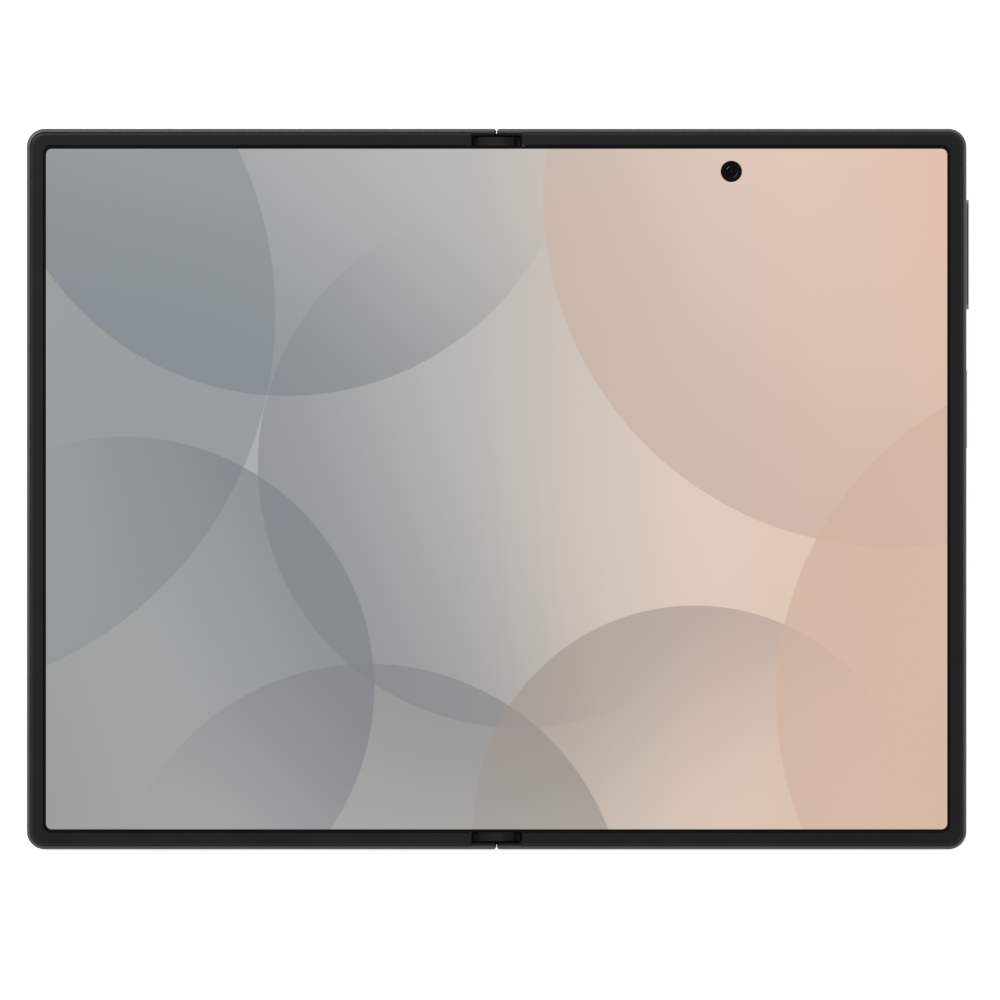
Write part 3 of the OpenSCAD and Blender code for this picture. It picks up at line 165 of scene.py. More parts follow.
# ---- Hinge spine ----
# The spine is a trough of anodised aluminium that shows as the rounded back of the shut phone.
# It is extruded and milled, then bead blasted and dyed with the frames. Its rim beside the end caps
# is darkened with painted shade, where it lies in shade.
def rgb(red, green, blue):
    """A colour as read off the photograph, 0 to 255, as Blender's linear one."""
    return tuple((c / 255 / 12.92) if c <= 10 else ((c / 255 + 0.055) / 1.055) ** 2.4
                 for c in (red, green, blue))


class Surface:
    """One material: a principled shader fed by patterns that are laid over the object. Sizes are in mm."""

    def __init__(self, name, colour, roughness, metallic=0.0, **sockets):
        self.material = bpy.data.materials.new(name)
        self.material.use_nodes = True
        self.tree = self.material.node_tree
        self.shader = self.tree.nodes["Principled BSDF"].inputs
        self.colour = (*colour, 1)
        self.shader["Base Color"].default_value = self.colour
        self.shader["Roughness"].default_value = roughness
        self.shader["Metallic"].default_value = metallic
        for socket, value in sockets.items():
            self.shader[socket.replace("_", " ")].default_value = value
        self.place = self.add("TexCoord", output="Object")
        self.last_bump = None

    def add(self, kind, inputs=(), output=0, **settings):
        return add_node(self.tree, "ShaderNode" + kind, inputs, output, **settings)

    def feed(self, socket, pattern):
        self.tree.links.new(pattern, self.shader[socket])
        return self

    def math(self, operation, first, second=0.0, third=0.0):
        return self.add("Math", {0: first, 1: second, 2: third}, operation=operation)

    def times(self, first, second):
        return self.math("MULTIPLY", first, second)

    def weigh(self, first, share, second):
        """Two patterns as one, the first with its share and the second with the rest."""
        return self.math("MULTIPLY_ADD", first, share, self.times(second, 1 - share))

    def vector(self, operation, first, second=(0, 0, 0), output=0):
        return self.add("VectorMath", {0: first, 1: second}, output, operation=operation)

    def length(self, vector):
        return self.vector("LENGTH", vector, output=1)

    def moved(self, centre=(0, 0, 0), stretch=(1, 1, 1)):
        """Object coordinates with a new centre, or stretched."""
        return self.add("Mapping", {"Vector": self.place, "Location": [-c * MM for c in centre],
                                    "Scale": stretch})

    def flat(self, place=None):
        """Coordinates as seen from straight ahead, without the height."""
        return self.vector("MULTIPLY", place or self.place, (1, 1, 0))

    def axis(self, which, place=None):
        """One object coordinate: 0 is across, 1 is up the display, 2 is through its thickness."""
        return self.add("SeparateXYZ", {0: place or self.place}, which)

    def off(self, which, middle=0.0):
        """How far a point lies from a middle line, to either side."""
        return self.math("ABSOLUTE", self.math("SUBTRACT", self.axis(which), middle * MM))

    def noise(self, size, detail=2.0, place=None, roughness=0.5):
        """Cloudy grain whose blobs are about size across, from 0 to 1."""
        return self.add("TexNoise", {"Vector": place or self.place, "Scale": 1 / (size * MM),
                                     "Detail": detail, "Roughness": roughness})

    def spread(self, pattern, low, high, dark=0.3, light=0.7, smooth=False):
        """Maps a pattern's values from dark..light to low..high."""
        return self.add("MapRange", {"Value": pattern, "From Min": dark, "From Max": light, "To Min": low,
                                     "To Max": high}, interpolation_type="SMOOTHSTEP" if smooth else "LINEAR")

    def above(self, value, limit, soft=0.02):
        """1 where a coordinate is over the limit, 0 where it is under."""
        return self.spread(value, 0, 1, (limit - soft) * MM, (limit + soft) * MM)

    def below(self, value, limit, soft=0.05, smooth=False):
        """1 where a coordinate is under the limit, 0 where it is over."""
        return self.spread(value, 1, 0, (limit - soft) * MM, (limit + soft) * MM, smooth)

    def spot(self, centre, radius, soft=0.03):
        """1 inside a circle seen from the front or the back, 0 outside it."""
        return self.below(self.length(self.flat(self.moved(centre))), radius, soft, True)

    def blend(self, amount, under, over, way="MIX"):
        node = self.tree.nodes.new("ShaderNodeMix")
        node.data_type, node.blend_type = "RGBA", way
        for key, value in (("Factor_Float", amount), ("A_Color", under), ("B_Color", over)):
            socket = next(s for s in node.inputs if s.identifier == key)
            if isinstance(value, bpy.types.NodeSocket):
                self.tree.links.new(value, socket)
            else:
                socket.default_value = value if isinstance(value, float) else (*value[:3], 1)
        return next(s for s in node.outputs if s.identifier == "Result_Color")

    def paint(self, colour):
        return self.feed("Base Color", colour)

    def overpaint(self, amount, colour):
        """Lays a colour over the painted one where amount is 1."""
        return self.paint(self.blend(amount, self.shader["Base Color"].links[0].from_socket, colour))

    def mottle(self, pattern, depth):
        """Lets the written colour grow darker and lighter by a share, following a pattern."""
        shade = self.spread(pattern, 1 - depth, 1 + depth)
        level = self.add("CombineColor", {0: shade, 1: shade, 2: shade})
        return self.paint(self.blend(1.0, self.colour, level, "MULTIPLY"))

    def gloss(self, pattern, low, high):
        return self.feed("Roughness", self.spread(pattern, low, high))

    def relief(self, pattern, depth, strength=1.0):
        """Raises the surface by up to depth where the pattern is 1."""
        values = {"Strength": strength, "Distance": depth * MM, "Height": pattern}
        if self.last_bump is not None:
            values["Normal"] = self.last_bump
        self.last_bump = self.add("Bump", values)
        return self.feed("Normal", self.last_bump)

    def on(self, *nodes):
        """Gives this material to CAD nodes, which keep their own shape."""
        for node in nodes:
            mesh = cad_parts[node].data
            mesh.materials.clear()
            mesh.materials.append(self.material)
        return self


def blasted_metal(name, colour, low=0.34, high=0.46):
    """Bead blasted and anodised aluminium: fine even pits under a thin dyed layer."""
    metal = Surface(name, colour, 0.4, 0.35, Specular_IOR_Level=0.35)
    pits = metal.noise(0.11, 3.0)
    handled = metal.noise(9, 3.0)
    metal.mottle(metal.weigh(handled, 0.6, pits), 0.05)
    metal.gloss(metal.weigh(handled, 0.35, pits), low, high)
    return metal.relief(pits, 0.006, 0.6)


# The frames' graphite, and the dark colour of the painted shade on their shelves beside the hinge caps.
graphite, shelf_painted_shade = rgb(80, 82, 87), rgb(24, 24, 33)
spine = blasted_metal("spine_metal", rgb(74, 76, 82), 0.26, 0.38)
rim_z, cap_y = 5.7, 58.6
# Painted shade: the spine's rim beside the end caps is darkened where it lies in shade.
shade_by_the_caps = spine.times(spine.above(spine.axis(2), rim_z), spine.above(spine.off(1), cap_y))
spine.overpaint(shade_by_the_caps, rgb(26, 26, 32)).on("spine_cover")


# ---- Hinge modules ----
# Two hinge bases are screwed into the spine. They, the arms that turn in their crescent rails and
# the sliding cam followers are injection moulded from steel powder, sintered and tumbled.
def sintered_steel(name, colour, low, high):
    steel = Surface(name, colour, 0.4, 0.95)
    powder = steel.noise(0.06, 4.0)
    clouds = steel.noise(1.5)
    steel.mottle(clouds, 0.05)
    steel.gloss(steel.weigh(clouds, 0.4, powder), low, high)
    return steel.relief(powder, 0.004, 0.7)


arm_places = ("left_upper", "left_lower", "right_upper", "right_lower")
sintered_steel("hinge_base_steel", rgb(122, 123, 127), 0.32, 0.42).on("hinge_base_upper", "hinge_base_lower")
sintered_steel("arm_steel", rgb(146, 147, 150), 0.28, 0.38).on(*("rotary_arm_" + at for at in arm_places))
follower = sintered_steel("follower_steel", rgb(150, 146, 138), 0.18, 0.34)
grease = follower.spread(follower.noise(0.9, 3.0), 0, 1, 0.5, 0.62, True)
follower.paint(follower.blend(grease, rgb(150, 146, 138), rgb(176, 160, 116))).on("cam_followers")


# ---- Synchronising gears and torsion arms ----
# Four gears of ten teeth keep the halves together. The outer two carry the torsion arms, with the
# cams that the springs press on. They are sintered bronze and steel with a bronze tint.
def bronze(name, colour):
    metal = Surface(name, colour, 0.34, 0.95)
    wear = metal.noise(0.5, 4.0)
    metal.mottle(wear, 0.08).gloss(wear, 0.26, 0.38)
    return metal.relief(metal.noise(0.05, 3.0), 0.003, 0.7)


bronze("torsion_arm_bronze", rgb(184, 158, 104)).on(*("torsion_arm_" + at for at in arm_places))
bronze("idler_bronze", rgb(198, 172, 118)).on("idler_gears_left", "idler_gears_right")


# ---- Springs ----
# Music wire coils press the cam followers against the cams, which gives the hinge its detents.
# Drawing leaves fine lines round the wire, and its oil darkens it in patches.
def grained(name, colour, roughness, metallic=0.0, clouds=None, sheen=None, pits=None, **sockets):
    """A common finish. clouds are size, detail and how far the colour varies; sheen is size, detail,
    least and most roughness; pits are size, detail, depth and strength."""
    finish = Surface(name, colour, roughness, metallic, **sockets)
    if clouds:
        finish.mottle(finish.noise(*clouds[:2]), clouds[2])
    if sheen:
        finish.gloss(finish.noise(*sheen[:2]), *sheen[2:])
    if pits:
        finish.relief(finish.noise(*pits[:2]), *pits[2:])
    return finish


wire = grained("spring_wire", rgb(176, 177, 182), 0.22, 1.0, clouds=(0.7, 2, 0.15), sheen=(0.2, 3, 0.14, 0.3))
wire.relief(wire.noise(0.04, 2.0, wire.moved(stretch=(1, 0.2, 1))), 0.002).on("hinge_springs")


# ---- Centre rail and wing plates ----
# Stainless sheets carry the bending display: a rail along the spine, and on each half a wing that
# drops away as the phone is shut. They are blanked from rolled sheet and dulled by etching.
def rolled_steel(name, colour, stretch):
    sheet = Surface(name, colour, 0.34, 0.95)
    lines = sheet.noise(0.12, 3.0, sheet.moved(stretch=stretch))
    sheet.mottle(sheet.noise(6), 0.06).gloss(lines, 0.24, 0.42)
    return sheet.relief(lines, 0.002, 0.6)


rolled_steel("wing_steel", rgb(176, 177, 180), (1, 0.02, 1)).on("wing_left", "wing_right", "centre_rail")


# ---- Machine screws ----
# Small steel screws hold the arms to the frames, and others hold the three circuit boards from
# below. Their heads are turned, with a six-lobed recess.
screw = grained("screw_steel", rgb(164, 164, 168), 0.26, 1.0, clouds=(0.3, 2, 0.1),
                sheen=(0.08, 2, 0.18, 0.34), pits=(0.05, 2, 0.003, 1))
screw.on("arm_screws_left", "arm_screws_right")


def as_piece(name, shape):
    """Turns a finished bmesh into an object at the origin, with its faces outward."""
    bmesh.ops.recalc_face_normals(shape, faces=shape.faces)
    mesh = bpy.data.meshes.new(name)
    shape.to_mesh(mesh)
    shape.free()
    return placed(name, mesh)


def fit(piece, body, finish=None):
    """Gives a piece its finish and lets it ride on a body."""
    if finish is not None:
        piece.data.materials.append(finish.material)
    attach(piece, body)


def turned(name, profile, centre, steps=96):
    """A round piece made on a lathe: the profile in mm, turned about the centre. A point is radius,
    height and, for a driver's recess, how far six lobes stand out as a share of the radius."""
    shape = bmesh.new()
    rings = []
    for radius, z, *lobes in profile:
        ring = []
        for i in range(steps if radius else 1):
            angle = 2 * math.pi * i / steps
            r = radius * MM * (1 + (lobes[0] * math.cos(6 * angle) if lobes else 0))
            x, y = centre[0] * MM + r * math.cos(angle), centre[1] * MM + r * math.sin(angle)
            ring.append(shape.verts.new((x, y, z * MM)))
        rings.append(ring)
    closed = profile[0][0] > 0
    for a, b in zip(rings, rings[1:] + rings[:1] if closed else rings[1:]):
        for i in range(steps):
            j = (i + 1) % steps
            corners = [a[i % len(a)], a[j % len(a)], b[j % len(b)], b[i % len(b)]]
            corners = [c for k, c in enumerate(corners) if c not in corners[:k]]
            if len(corners) > 2:
                shape.faces.new(corners)
    for face in shape.faces:
        face.smooth = True
    piece = as_piece(name, shape)
    piece.data.set_sharp_from_angle(angle=math.radians(35))
    return piece


def plain_mesh(piece):
    """The piece's shape with its modifiers worked in, as a new plain mesh in its place."""
    bpy.context.view_layer.update()
    depsgraph = bpy.context.evaluated_depsgraph_get()
    mesh = bpy.data.meshes.new_from_object(piece.evaluated_get(depsgraph), depsgraph=depsgraph)
    piece.modifiers.clear()
    piece.data = mesh
    mesh.name = piece.name


def new_tree(name, inputs, output):
    """An empty Geometry Nodes tree with named inputs, and the outputs of its input node."""
    tree = bpy.data.node_groups.new(name, "GeometryNodeTree")
    tree.is_modifier = True
    for label, kind in inputs.items():
        tree.interface.new_socket(label, in_out="INPUT", socket_type="NodeSocket" + kind)
    tree.interface.new_socket(output, in_out="OUTPUT", socket_type="NodeSocketGeometry")
    return tree, add_node(tree, "NodeGroupInput").node.outputs


def end_tree(tree, shape, finish):
    """Makes copies real, gives them their finish and hands them out."""
    real = add_node(tree, "GeometryNodeRealizeInstances", {"Geometry": shape})
    finished = add_node(tree, "GeometryNodeSetMaterial", {"Geometry": real, "Material": finish})
    add_node(tree, "NodeGroupOutput", {0: finished})


def run_tree(piece, tree, values):
    """Works a tree with these values for its inputs, and leaves its result as the piece's plain mesh."""
    known = {item.name: item.identifier for item in tree.interface.items_tree if item.in_out == "INPUT"}
    builder = piece.modifiers.new("builder", "NODES")
    builder.node_group = tree
    for label, value in values.items():
        builder[known[label]] = value
    plain_mesh(piece)


def copying_tree(name, along_lines):
    """A tree that sets copies of one shape at a layout's points, or a pitch apart along its lines."""
    tree, given = new_tree(
        name, {"Layout": "Geometry", "Shape": "Object", "Pitch": "Float", "Finish": "Material"}, "Copies")
    points = given["Layout"]
    if along_lines:
        curve = add_node(tree, "GeometryNodeMeshToCurve", {"Mesh": points})
        points = add_node(tree, "GeometryNodeCurveToPoints", {"Curve": curve, "Length": given["Pitch"]},
                          mode="LENGTH")
    one = add_node(tree, "GeometryNodeObjectInfo", {"Object": given["Shape"]}, "Geometry")
    many = add_node(tree, "GeometryNodeInstanceOnPoints", {"Points": points, "Instance": one})
    end_tree(tree, many, given["Finish"])
    return tree


set_at_points = copying_tree("set_at_points", False)
set_along_lines = copying_tree("set_along_lines", True)


def copies(name, shape, layout, finish, pitch=0.0):
    """Copies of shape as one plain mesh. The layout is points, or pairs of ends of lines, in mm."""
    at = [end for line in layout for end in line] if pitch else layout
    lines = [(i, i + 1) for i in range(0, len(at), 2)] if pitch else []
    plan = bpy.data.meshes.new(name)
    plan.from_pydata([[c * MM for c in point] for point in at], lines, [])
    piece = placed(name, plan)
    run_tree(piece, set_along_lines if pitch else set_at_points,
             {"Shape": shape, "Pitch": pitch * MM, "Finish": finish.material})
    bpy.data.meshes.remove(plan)
    bpy.data.meshes.remove(shape.data)
    return piece


def small_box(name, size, edge=0.15):
    """A box of size mm about the origin with its edges broken by a share of its least side."""
    shape = bmesh.new()
    bmesh.ops.create_cube(shape, size=1)
    bmesh.ops.scale(shape, verts=shape.verts, vec=[side * MM for side in size])
    bmesh.ops.bevel(shape, geom=shape.edges[:], offset=edge * min(size) * MM, segments=1, affect="EDGES")
    return as_piece(name, shape)


def set_boxes(name, size, layout, finish, body, pitch=0.0, edge=0.15):
    """Like boxes of size mm at a layout's places, all fixed to one body."""
    fit(copies(name, small_box("one_box", size, edge), layout, finish, pitch), body)


recess = [(0, 0.22), (0.34, 0.22, 0.16), (0.36, 0, 0.16)]
head = [(0.74, 0), (0.9, 0.1), (0.95, 0.24), (0.95, 0.42)]
thread = [(0.5, 0.42), (0.44, 0.5), (0.4, 0.9), (0.44, 1.0), (0.4, 1.1), (0.44, 1.2), (0.4, 1.3), (0.3, 1.42),
          (0, 1.42)]
for word, z, spots in (
        ("left", 3.68, [(-50.2, 44.2), (-73.9, 44.1), (-61, 57.1)]),
        ("right", 3.88, [(31.6, 57.4), (41, 31.7), (75.4, 11.9), (75.5, -34), (31, -43.4), (52.8, -43.4)])):
    one_screw = turned("one_screw", recess + head + thread, (0, 0), 36)
    board_screws = copies("board_screws_" + word, one_screw, [(x, y, z) for x, y in spots], screw)
    fit(board_screws, word + "_half")


# ---- Half frames ----
# Each half is one milled aluminium frame: the side band that shows, and inside it the middle plate
# that carries everything. The band is bead blasted and dyed a dark graphite, and the inside keeps its
# milled face. The shelf beside each hinge cap is darkened with painted shade.
half_wide, half_long, band_thick, hinge_clear = 80.7, 61.9, 2.6, 9
shelf_start, shelf_end, shelf_z, shelf_half = 58.7, 61.2, 6.0, 4.33
band = blasted_metal("frame_graphite", graphite)
frame_x, frame_y, frame_z = band.off(0), band.off(1), band.axis(2)
inset = band.math("MINIMUM", band.math("SUBTRACT", half_wide * MM, frame_x),
                  band.math("SUBTRACT", half_long * MM, frame_y))
milled = band.times(band.above(inset, band_thick), band.above(frame_x, hinge_clear))
cutter = band.add("TexWave", {"Vector": band.place, "Scale": 1500.0, "Distortion": 0.6, "Detail": 1.0,
                              "Detail Scale": 3.0}, 1, bands_direction="DIAGONAL")
band.overpaint(milled, band.blend(cutter, rgb(142, 144, 148), rgb(156, 158, 161)))
# Painted shade on the frames' shelf beside each hinge cap, where it lies in shade.
shelf = band.times(band.times(band.above(frame_y, shelf_start), band.below(frame_y, shelf_end)),
                   band.times(band.above(frame_z, shelf_z), band.below(frame_x, shelf_half, 0.03)))
band.overpaint(shelf, shelf_painted_shade)
band.feed("Metallic", band.spread(milled, 0.4, 0.85, 0, 1)).on("frame_left", "frame_right")
grained("antenna_break_polymer", rgb(68, 70, 74), 0.42, clouds=(0.4, 3, 0.06), sheen=(0.15, 2, 0.36, 0.5),
        pits=(0.1, 2, 0.003, 0.5)).on("antenna_breaks_left", "antenna_breaks_right")


# ---- Batteries ----
# Two lithium pouches, one in each half, wrapped in black film over laminated foil. The film is
# slightly creased where it is folded down the long sides.
pouch = Surface("battery_film", rgb(46, 47, 50), 0.36, Coat_Weight=0.15, Coat_Roughness=0.2)
creases = pouch.noise(7, 3.0, pouch.moved(stretch=(1, 0.35, 1)), 0.6)
pouch.mottle(creases, 0.1).gloss(creases, 0.28, 0.46)
pouch.relief(creases, 0.12, 0.5).relief(pouch.noise(0.5), 0.01, 0.5).on("battery_left", "battery_right")


# ---- Circuit boards ----
# Laminated boards with copper tracks under green solder mask. Pressed tin plated cans are soldered
# on both faces, with black chips, ceramic capacitors and flex plugs with gilt contacts between them.
board = Surface("circuit_board", rgb(24, 62, 52), 0.4)
board_x, board_y, board_z = (board.axis(i) for i in range(3))
patch = (2.7 * MM, 1.9 * MM, 9 * MM)
lot = board.add("TexWhiteNoise", {"Vector": board.vector("SNAP", board.place, patch)})
track_pitch, top_left, top_right, board_thick, end_out = 0.34, 4.7, 4.9, 0.6, 0.38


def fine_lines(coordinate):
    wave = board.math("PINGPONG", coordinate, track_pitch / 2 * MM)
    return board.above(wave, 0.28 * track_pitch, 0.04 * track_pitch)


def drawn_lots(low, high):
    """1 in the patches of board whose lot lies between low and high."""
    return board.times(board.spread(lot, 0, 1, low - 0.001, low + 0.001),
                       board.spread(lot, 1, 0, high - 0.001, high + 0.001))


runs_across = board.times(fine_lines(board_y), drawn_lots(0.55, 1.1))
runs_up = board.times(fine_lines(board_x), drawn_lots(-0.1, 0.3))
under_mask = board.math("MAXIMUM", drawn_lots(0.3, 0.55), board.math("MAXIMUM", runs_across, runs_up))
dots = board.add("TexVoronoi", {"Vector": board.flat(), "Scale": 700.0, "Randomness": 0.7})
vias = board.spread(dots, 1, 0, 0.10, 0.13)
mask = board.blend(vias, board.blend(under_mask, rgb(17, 48, 42), rgb(34, 82, 66)), rgb(206, 176, 104))
top = board.math("MULTIPLY_ADD", board.above(board_x, 0), (top_right - top_left) * MM,
                 (top_left + 0.015) * MM)
over = board.above(board.math("SUBTRACT", board_z, top), 0, 0.01)
under = board.math("SUBTRACT", top, (board_thick + 0.03) * MM)
under = board.above(board.math("SUBTRACT", under, board_z), 0, 0.01)
is_can = board.math("MAXIMUM", over, under)
tin = board.noise(2.2, 3.0)
can_tone = board.blend(board.spread(tin, 0, 1), rgb(160, 161, 164), rgb(174, 174, 176))
board.paint(board.blend(is_can, mask, can_tone))
board.feed("Metallic", board.math("MAXIMUM", is_can, vias)).gloss(tin, 0.32, 0.38)
board.relief(board.times(under_mask, board.math("SUBTRACT", 1.0, is_can)), 0.02)
board.relief(board.noise(0.2), 0.002, 0.4)
board.on("main_board", "sub_board_left", "sub_board_right")

epoxy = grained("chip_epoxy", rgb(26, 27, 30), 0.45, clouds=(0.2, 2, 0.1), sheen=(0.1, 2, 0.38, 0.55),
                pits=(0.06, 2, 0.003, 0.6))
ceramic = grained("capacitor_ceramic", rgb(136, 112, 84), 0.5, clouds=(0.8, 2, 0.14),
                  pits=(0.08, 2, 0.003, 0.6))
solder = grained("solder_tin", rgb(184, 184, 186), 0.3, 1.0, clouds=(0.3, 2, 0.1), sheen=(0.1, 2, 0.24, 0.4))
gilt = grained("contact_gilt", rgb(214, 180, 104), 0.22, 1.0, clouds=(0.2, 2, 0.08),
               sheen=(0.08, 2, 0.16, 0.3))
plug_black = grained("plug_polymer", rgb(30, 30, 32), 0.4, clouds=(0.4, 2, 0.1), sheen=(0.15, 2, 0.34, 0.5))


def clear_board(node, surface_z, size, apart, seed, tries=900):
    """Seeded places on a board's top face where a chip of size mm has bare board all round it."""
    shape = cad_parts[node].data
    caster = BVHTree.FromPolygons([v.co.copy() for v in shape.vertices],
                                  [tuple(p.vertices) for p in shape.polygons])
    low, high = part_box(node)
    lottery = random.Random(seed)
    places = []
    for _ in range(tries):
        x, y = (lottery.uniform(low[i] / MM + 1, high[i] / MM - 1) for i in (0, 1))
        if any(abs(x - a) < size[0] + apart and abs(y - b) < size[1] + apart for a, b, _ in places):
            continue
        edge = [(x + i * (size[0] / 2 + 0.25), y + j * (size[1] / 2 + 0.25))
                for i in (-1, 0, 1) for j in (-1, 0, 1)]
        hits = [caster.ray_cast(Vector((a * MM, b * MM, 9 * MM)), Vector((0, 0, -1)))[0] for a, b in edge]
        if all(hit is not None and abs(hit.z / MM - surface_z) < 0.02 for hit in hits):
            places.append((x, y, surface_z))
    return places


for node, half, face, seed in (
        ("main_board", "right_half", top_right, 11), ("sub_board_right", "right_half", top_right, 12),
        ("sub_board_left", "left_half", top_left, 13)):
    taken = []
    for kind, size, apart, most, finish in (
            ("chips", (2.4, 1.8, 0.5), 0.6, 7, epoxy), ("small_chips", (1.1, 1.1, 0.4), 0.5, 16, epoxy),
            ("capacitors", (0.5, 0.9, 0.42), 0.25, 90, ceramic)):
        found = [(x, y, z + size[2] / 2) for x, y, z in clear_board(node, face, size, apart, seed)
                 if all(abs(x - a) > (size[0] + w) / 2 + 0.2 or abs(y - b) > (size[1] + h) / 2 + 0.2
                        for a, b, w, h in taken)][:most]
        if not found:
            continue
        taken += [(x, y, size[0], size[1]) for x, y, _ in found]
        set_boxes(node + "_" + kind, size, found, finish, half)
        if kind == "capacitors":
            ends = [(x, y + side * end_out, z) for x, y, z in found for side in (-1, 1)]
            set_boxes(node + "_capacitor_ends", (0.54, 0.22, 0.46), ends, solder, half,
                      edge=0.1)

plug_wide, plug_high, foot_pitch, foot_out, foot_inset, foot_z = 2.26, 0.74, 0.35, 1.28, 0.3, 0.04
for word, face, plugs in (
        ("left", top_left, [(-57.6, 44.6, 3.4), (-53.4, 44.6, 3.4)]),
        ("right", top_right, [(38.4, 36, 6), (38.4, 44.4, 6), (33.4, 51, 5), (49, 50, 7), (53, 51.8, 7),
                              (75.8, 2, 8), (36, -47.5, 8), (47.4, -51, 6)])):
    for length in sorted({plug[2] for plug in plugs}):
        centres = [(x, y, face + plug_high / 2) for x, y, l in plugs if l == length]
        set_boxes("plugs_%s_%d" % (word, length * 10), (plug_wide, length + 0.06, plug_high), centres,
                  plug_black, word + "_half", edge=0.12)
    rows = [[(x + side * foot_out, y - l / 2 + foot_inset, face + foot_z),
             (x + side * foot_out, y + l / 2 - foot_inset, face + foot_z)]
            for x, y, l in plugs for side in (-1, 1)]
    set_boxes("plug_feet_" + word, (0.36, 0.18, 0.08), rows, gilt, word + "_half", foot_pitch)


# ---- Speakers, vibration motor, magnets and card reader ----
# Moulded speaker boxes, a drawn steel motor can, nickel plated magnets that hold the phone shut,
# and a stamped reader for the card tray. Fine steel mesh backs the grilles and the earpiece slot.
grained("speaker_polymer", rgb(40, 41, 43), 0.5, clouds=(0.6, 3, 0.1), sheen=(0.25, 3, 0.42, 0.6),
        pits=(0.18, 3, 0.012, 0.7)).on("speaker_left", "loudspeaker")
rolled_steel("drawn_can", rgb(160, 162, 166), (0.05, 1, 1)).on("vibration_motor")
rolled_steel("stamped_sheet", rgb(186, 186, 188), (1, 0.04, 1)).on("sim_reader", "usb_port")
grained("magnet_nickel", rgb(190, 190, 188), 0.12, 1.0, sheen=(0.8, 3, 0.08, 0.2),
        pits=(0.3, 2, 0.006, 0.5)).on("magnets_left", "magnets_right")

port_x, port_z, contact_pitch, contact_y = 40.3, 4.8, 0.5, -59.2
port_rows = [((port_x - 2.75, contact_y, port_z + off), (port_x + 2.76, contact_y, port_z + off))
             for off in (-0.38, 0.38)]
set_boxes("port_contacts", (0.26, 3.0, 0.06), port_rows, gilt, "right_half", contact_pitch)
port_tongue = small_box("port_tongue", (6.75, 5.2, 0.74), 0.16)
port_tongue.data.transform(Matrix.Translation((port_x * MM, -58.44 * MM, port_z * MM)))
fit(port_tongue, "right_half", plug_black)

grille_z, grille_low, grille_high, grille_pitch, earpiece_pitch = 4.85, 3.92, 5.79, 0.13, 0.12
mesh_wire = grained("mesh_steel", rgb(92, 93, 96), 0.36, 1.0, clouds=(0.5, 2, 0.15), sheen=(0.1, 2, 0.3, 0.5))
for word, x, y, wide in (("left", -21, 61.0, 8.6), ("right", 63, -61.0, 10.8)):
    for kind, size, ends in (
            ("uprights", (0.05, 0.05, 1.9), ((x - wide / 2, y, grille_z), (x + wide / 2, y, grille_z))),
            ("across", (wide, 0.05, 0.05), ((x, y, grille_low), (x, y, grille_high)))):
        set_boxes("grille_mesh_%s_%s" % (kind, word), size, [ends], mesh_wire,
                  word + "_half", grille_pitch)
for name, size, ends in (
        ("earpiece_mesh_short", (0.04, 0.56, 0.04), ((-46.9, 60.45, 2.8), (-36.1, 60.45, 2.8))),
        ("earpiece_mesh_long", (10.9, 0.04, 0.04), ((-41.5, 60.21, 2.8), (-41.5, 60.7, 2.8)))):
    set_boxes(name, size, [ends], mesh_wire, "left_half", earpiece_pitch)


# ---- Charging coil and flex circuits ----
# The coil is three enamelled copper strands side by side, wound flat on a dark ferrite sheet with an
# amber film tail. Its inner lead runs under the turns. Amber circuits carry the key switches.
copper = Surface("coil_copper", rgb(184, 112, 66), 0.3, 0.9, Coat_Weight=0.4, Coat_Roughness=0.12)
strand_grain = copper.noise(0.16)
ferrite_from, tail_from = 3.246, 15.05
ferrite = copper.above(copper.axis(2), ferrite_from, 0.001)
sheet_tone = copper.blend(copper.above(copper.axis(1), tail_from), rgb(44, 44, 47), rgb(176, 104, 34))
sheet_tone = copper.blend(copper.times(ferrite, copper.noise(0.3)), sheet_tone, rgb(60, 60, 62))
strand_tone = copper.blend(strand_grain, rgb(168, 98, 56), rgb(202, 130, 82))
copper.paint(copper.blend(ferrite, strand_tone, sheet_tone))
copper.feed("Metallic", copper.spread(ferrite, 0.9, 0.1, 0, 1)).gloss(strand_grain, 0.24, 0.38)
copper.relief(strand_grain, 0.006, 0.6)
coil_x, coil_y, coil_inner, coil_pitch, coil_turns = 34, -4, 9, 1.3, 6.75
strand_radius, strand_z, strand_apart, points_in_turn, strand_sides = 0.115, 3.125, 2.2, 72, 8
sheet_z, sheet_thick, sheet_half, sheet_corner, tail_half, tail_end = 3.25, 0.1, 19, 3, 2, 36


def wound_coil_tree(strands):
    """A flat winding of round strands that lie side by side, from the inner radius outwards."""
    tree, given = new_tree("wound_coil", {
        "Geometry": "Geometry", "Centre": "Vector", "Turns": "Float", "Inner radius": "Float",
        "Pitch": "Float", "Strand radius": "Float", "Finish": "Material"}, "Coil")
    together = add_node(tree, "GeometryNodeJoinGeometry")
    for i in range(strands):
        start = add_node(tree, "ShaderNodeMath", {
            0: given["Strand radius"], 1: strand_apart * (i - (strands - 1) / 2), 2: given["Inner radius"]},
            operation="MULTIPLY_ADD")
        end = add_node(tree, "ShaderNodeMath", {0: given["Pitch"], 1: given["Turns"], 2: start},
                       operation="MULTIPLY_ADD")
        path = add_node(tree, "GeometryNodeCurveSpiral", {
            "Resolution": points_in_turn, "Rotations": given["Turns"], "Start Radius": start,
            "End Radius": end, "Height": 0.0})
        tree.links.new(path, together.node.inputs[0])
    section = add_node(tree, "GeometryNodeCurvePrimitiveCircle", {
        "Resolution": strand_sides, "Radius": given["Strand radius"]})
    wound = add_node(tree, "GeometryNodeCurveToMesh", {
        "Curve": together, "Profile Curve": section, "Fill Caps": True})
    centred = add_node(tree, "GeometryNodeTransform", {"Geometry": wound, "Translation": given["Centre"]})
    end_tree(tree, centred, given["Finish"])
    return tree


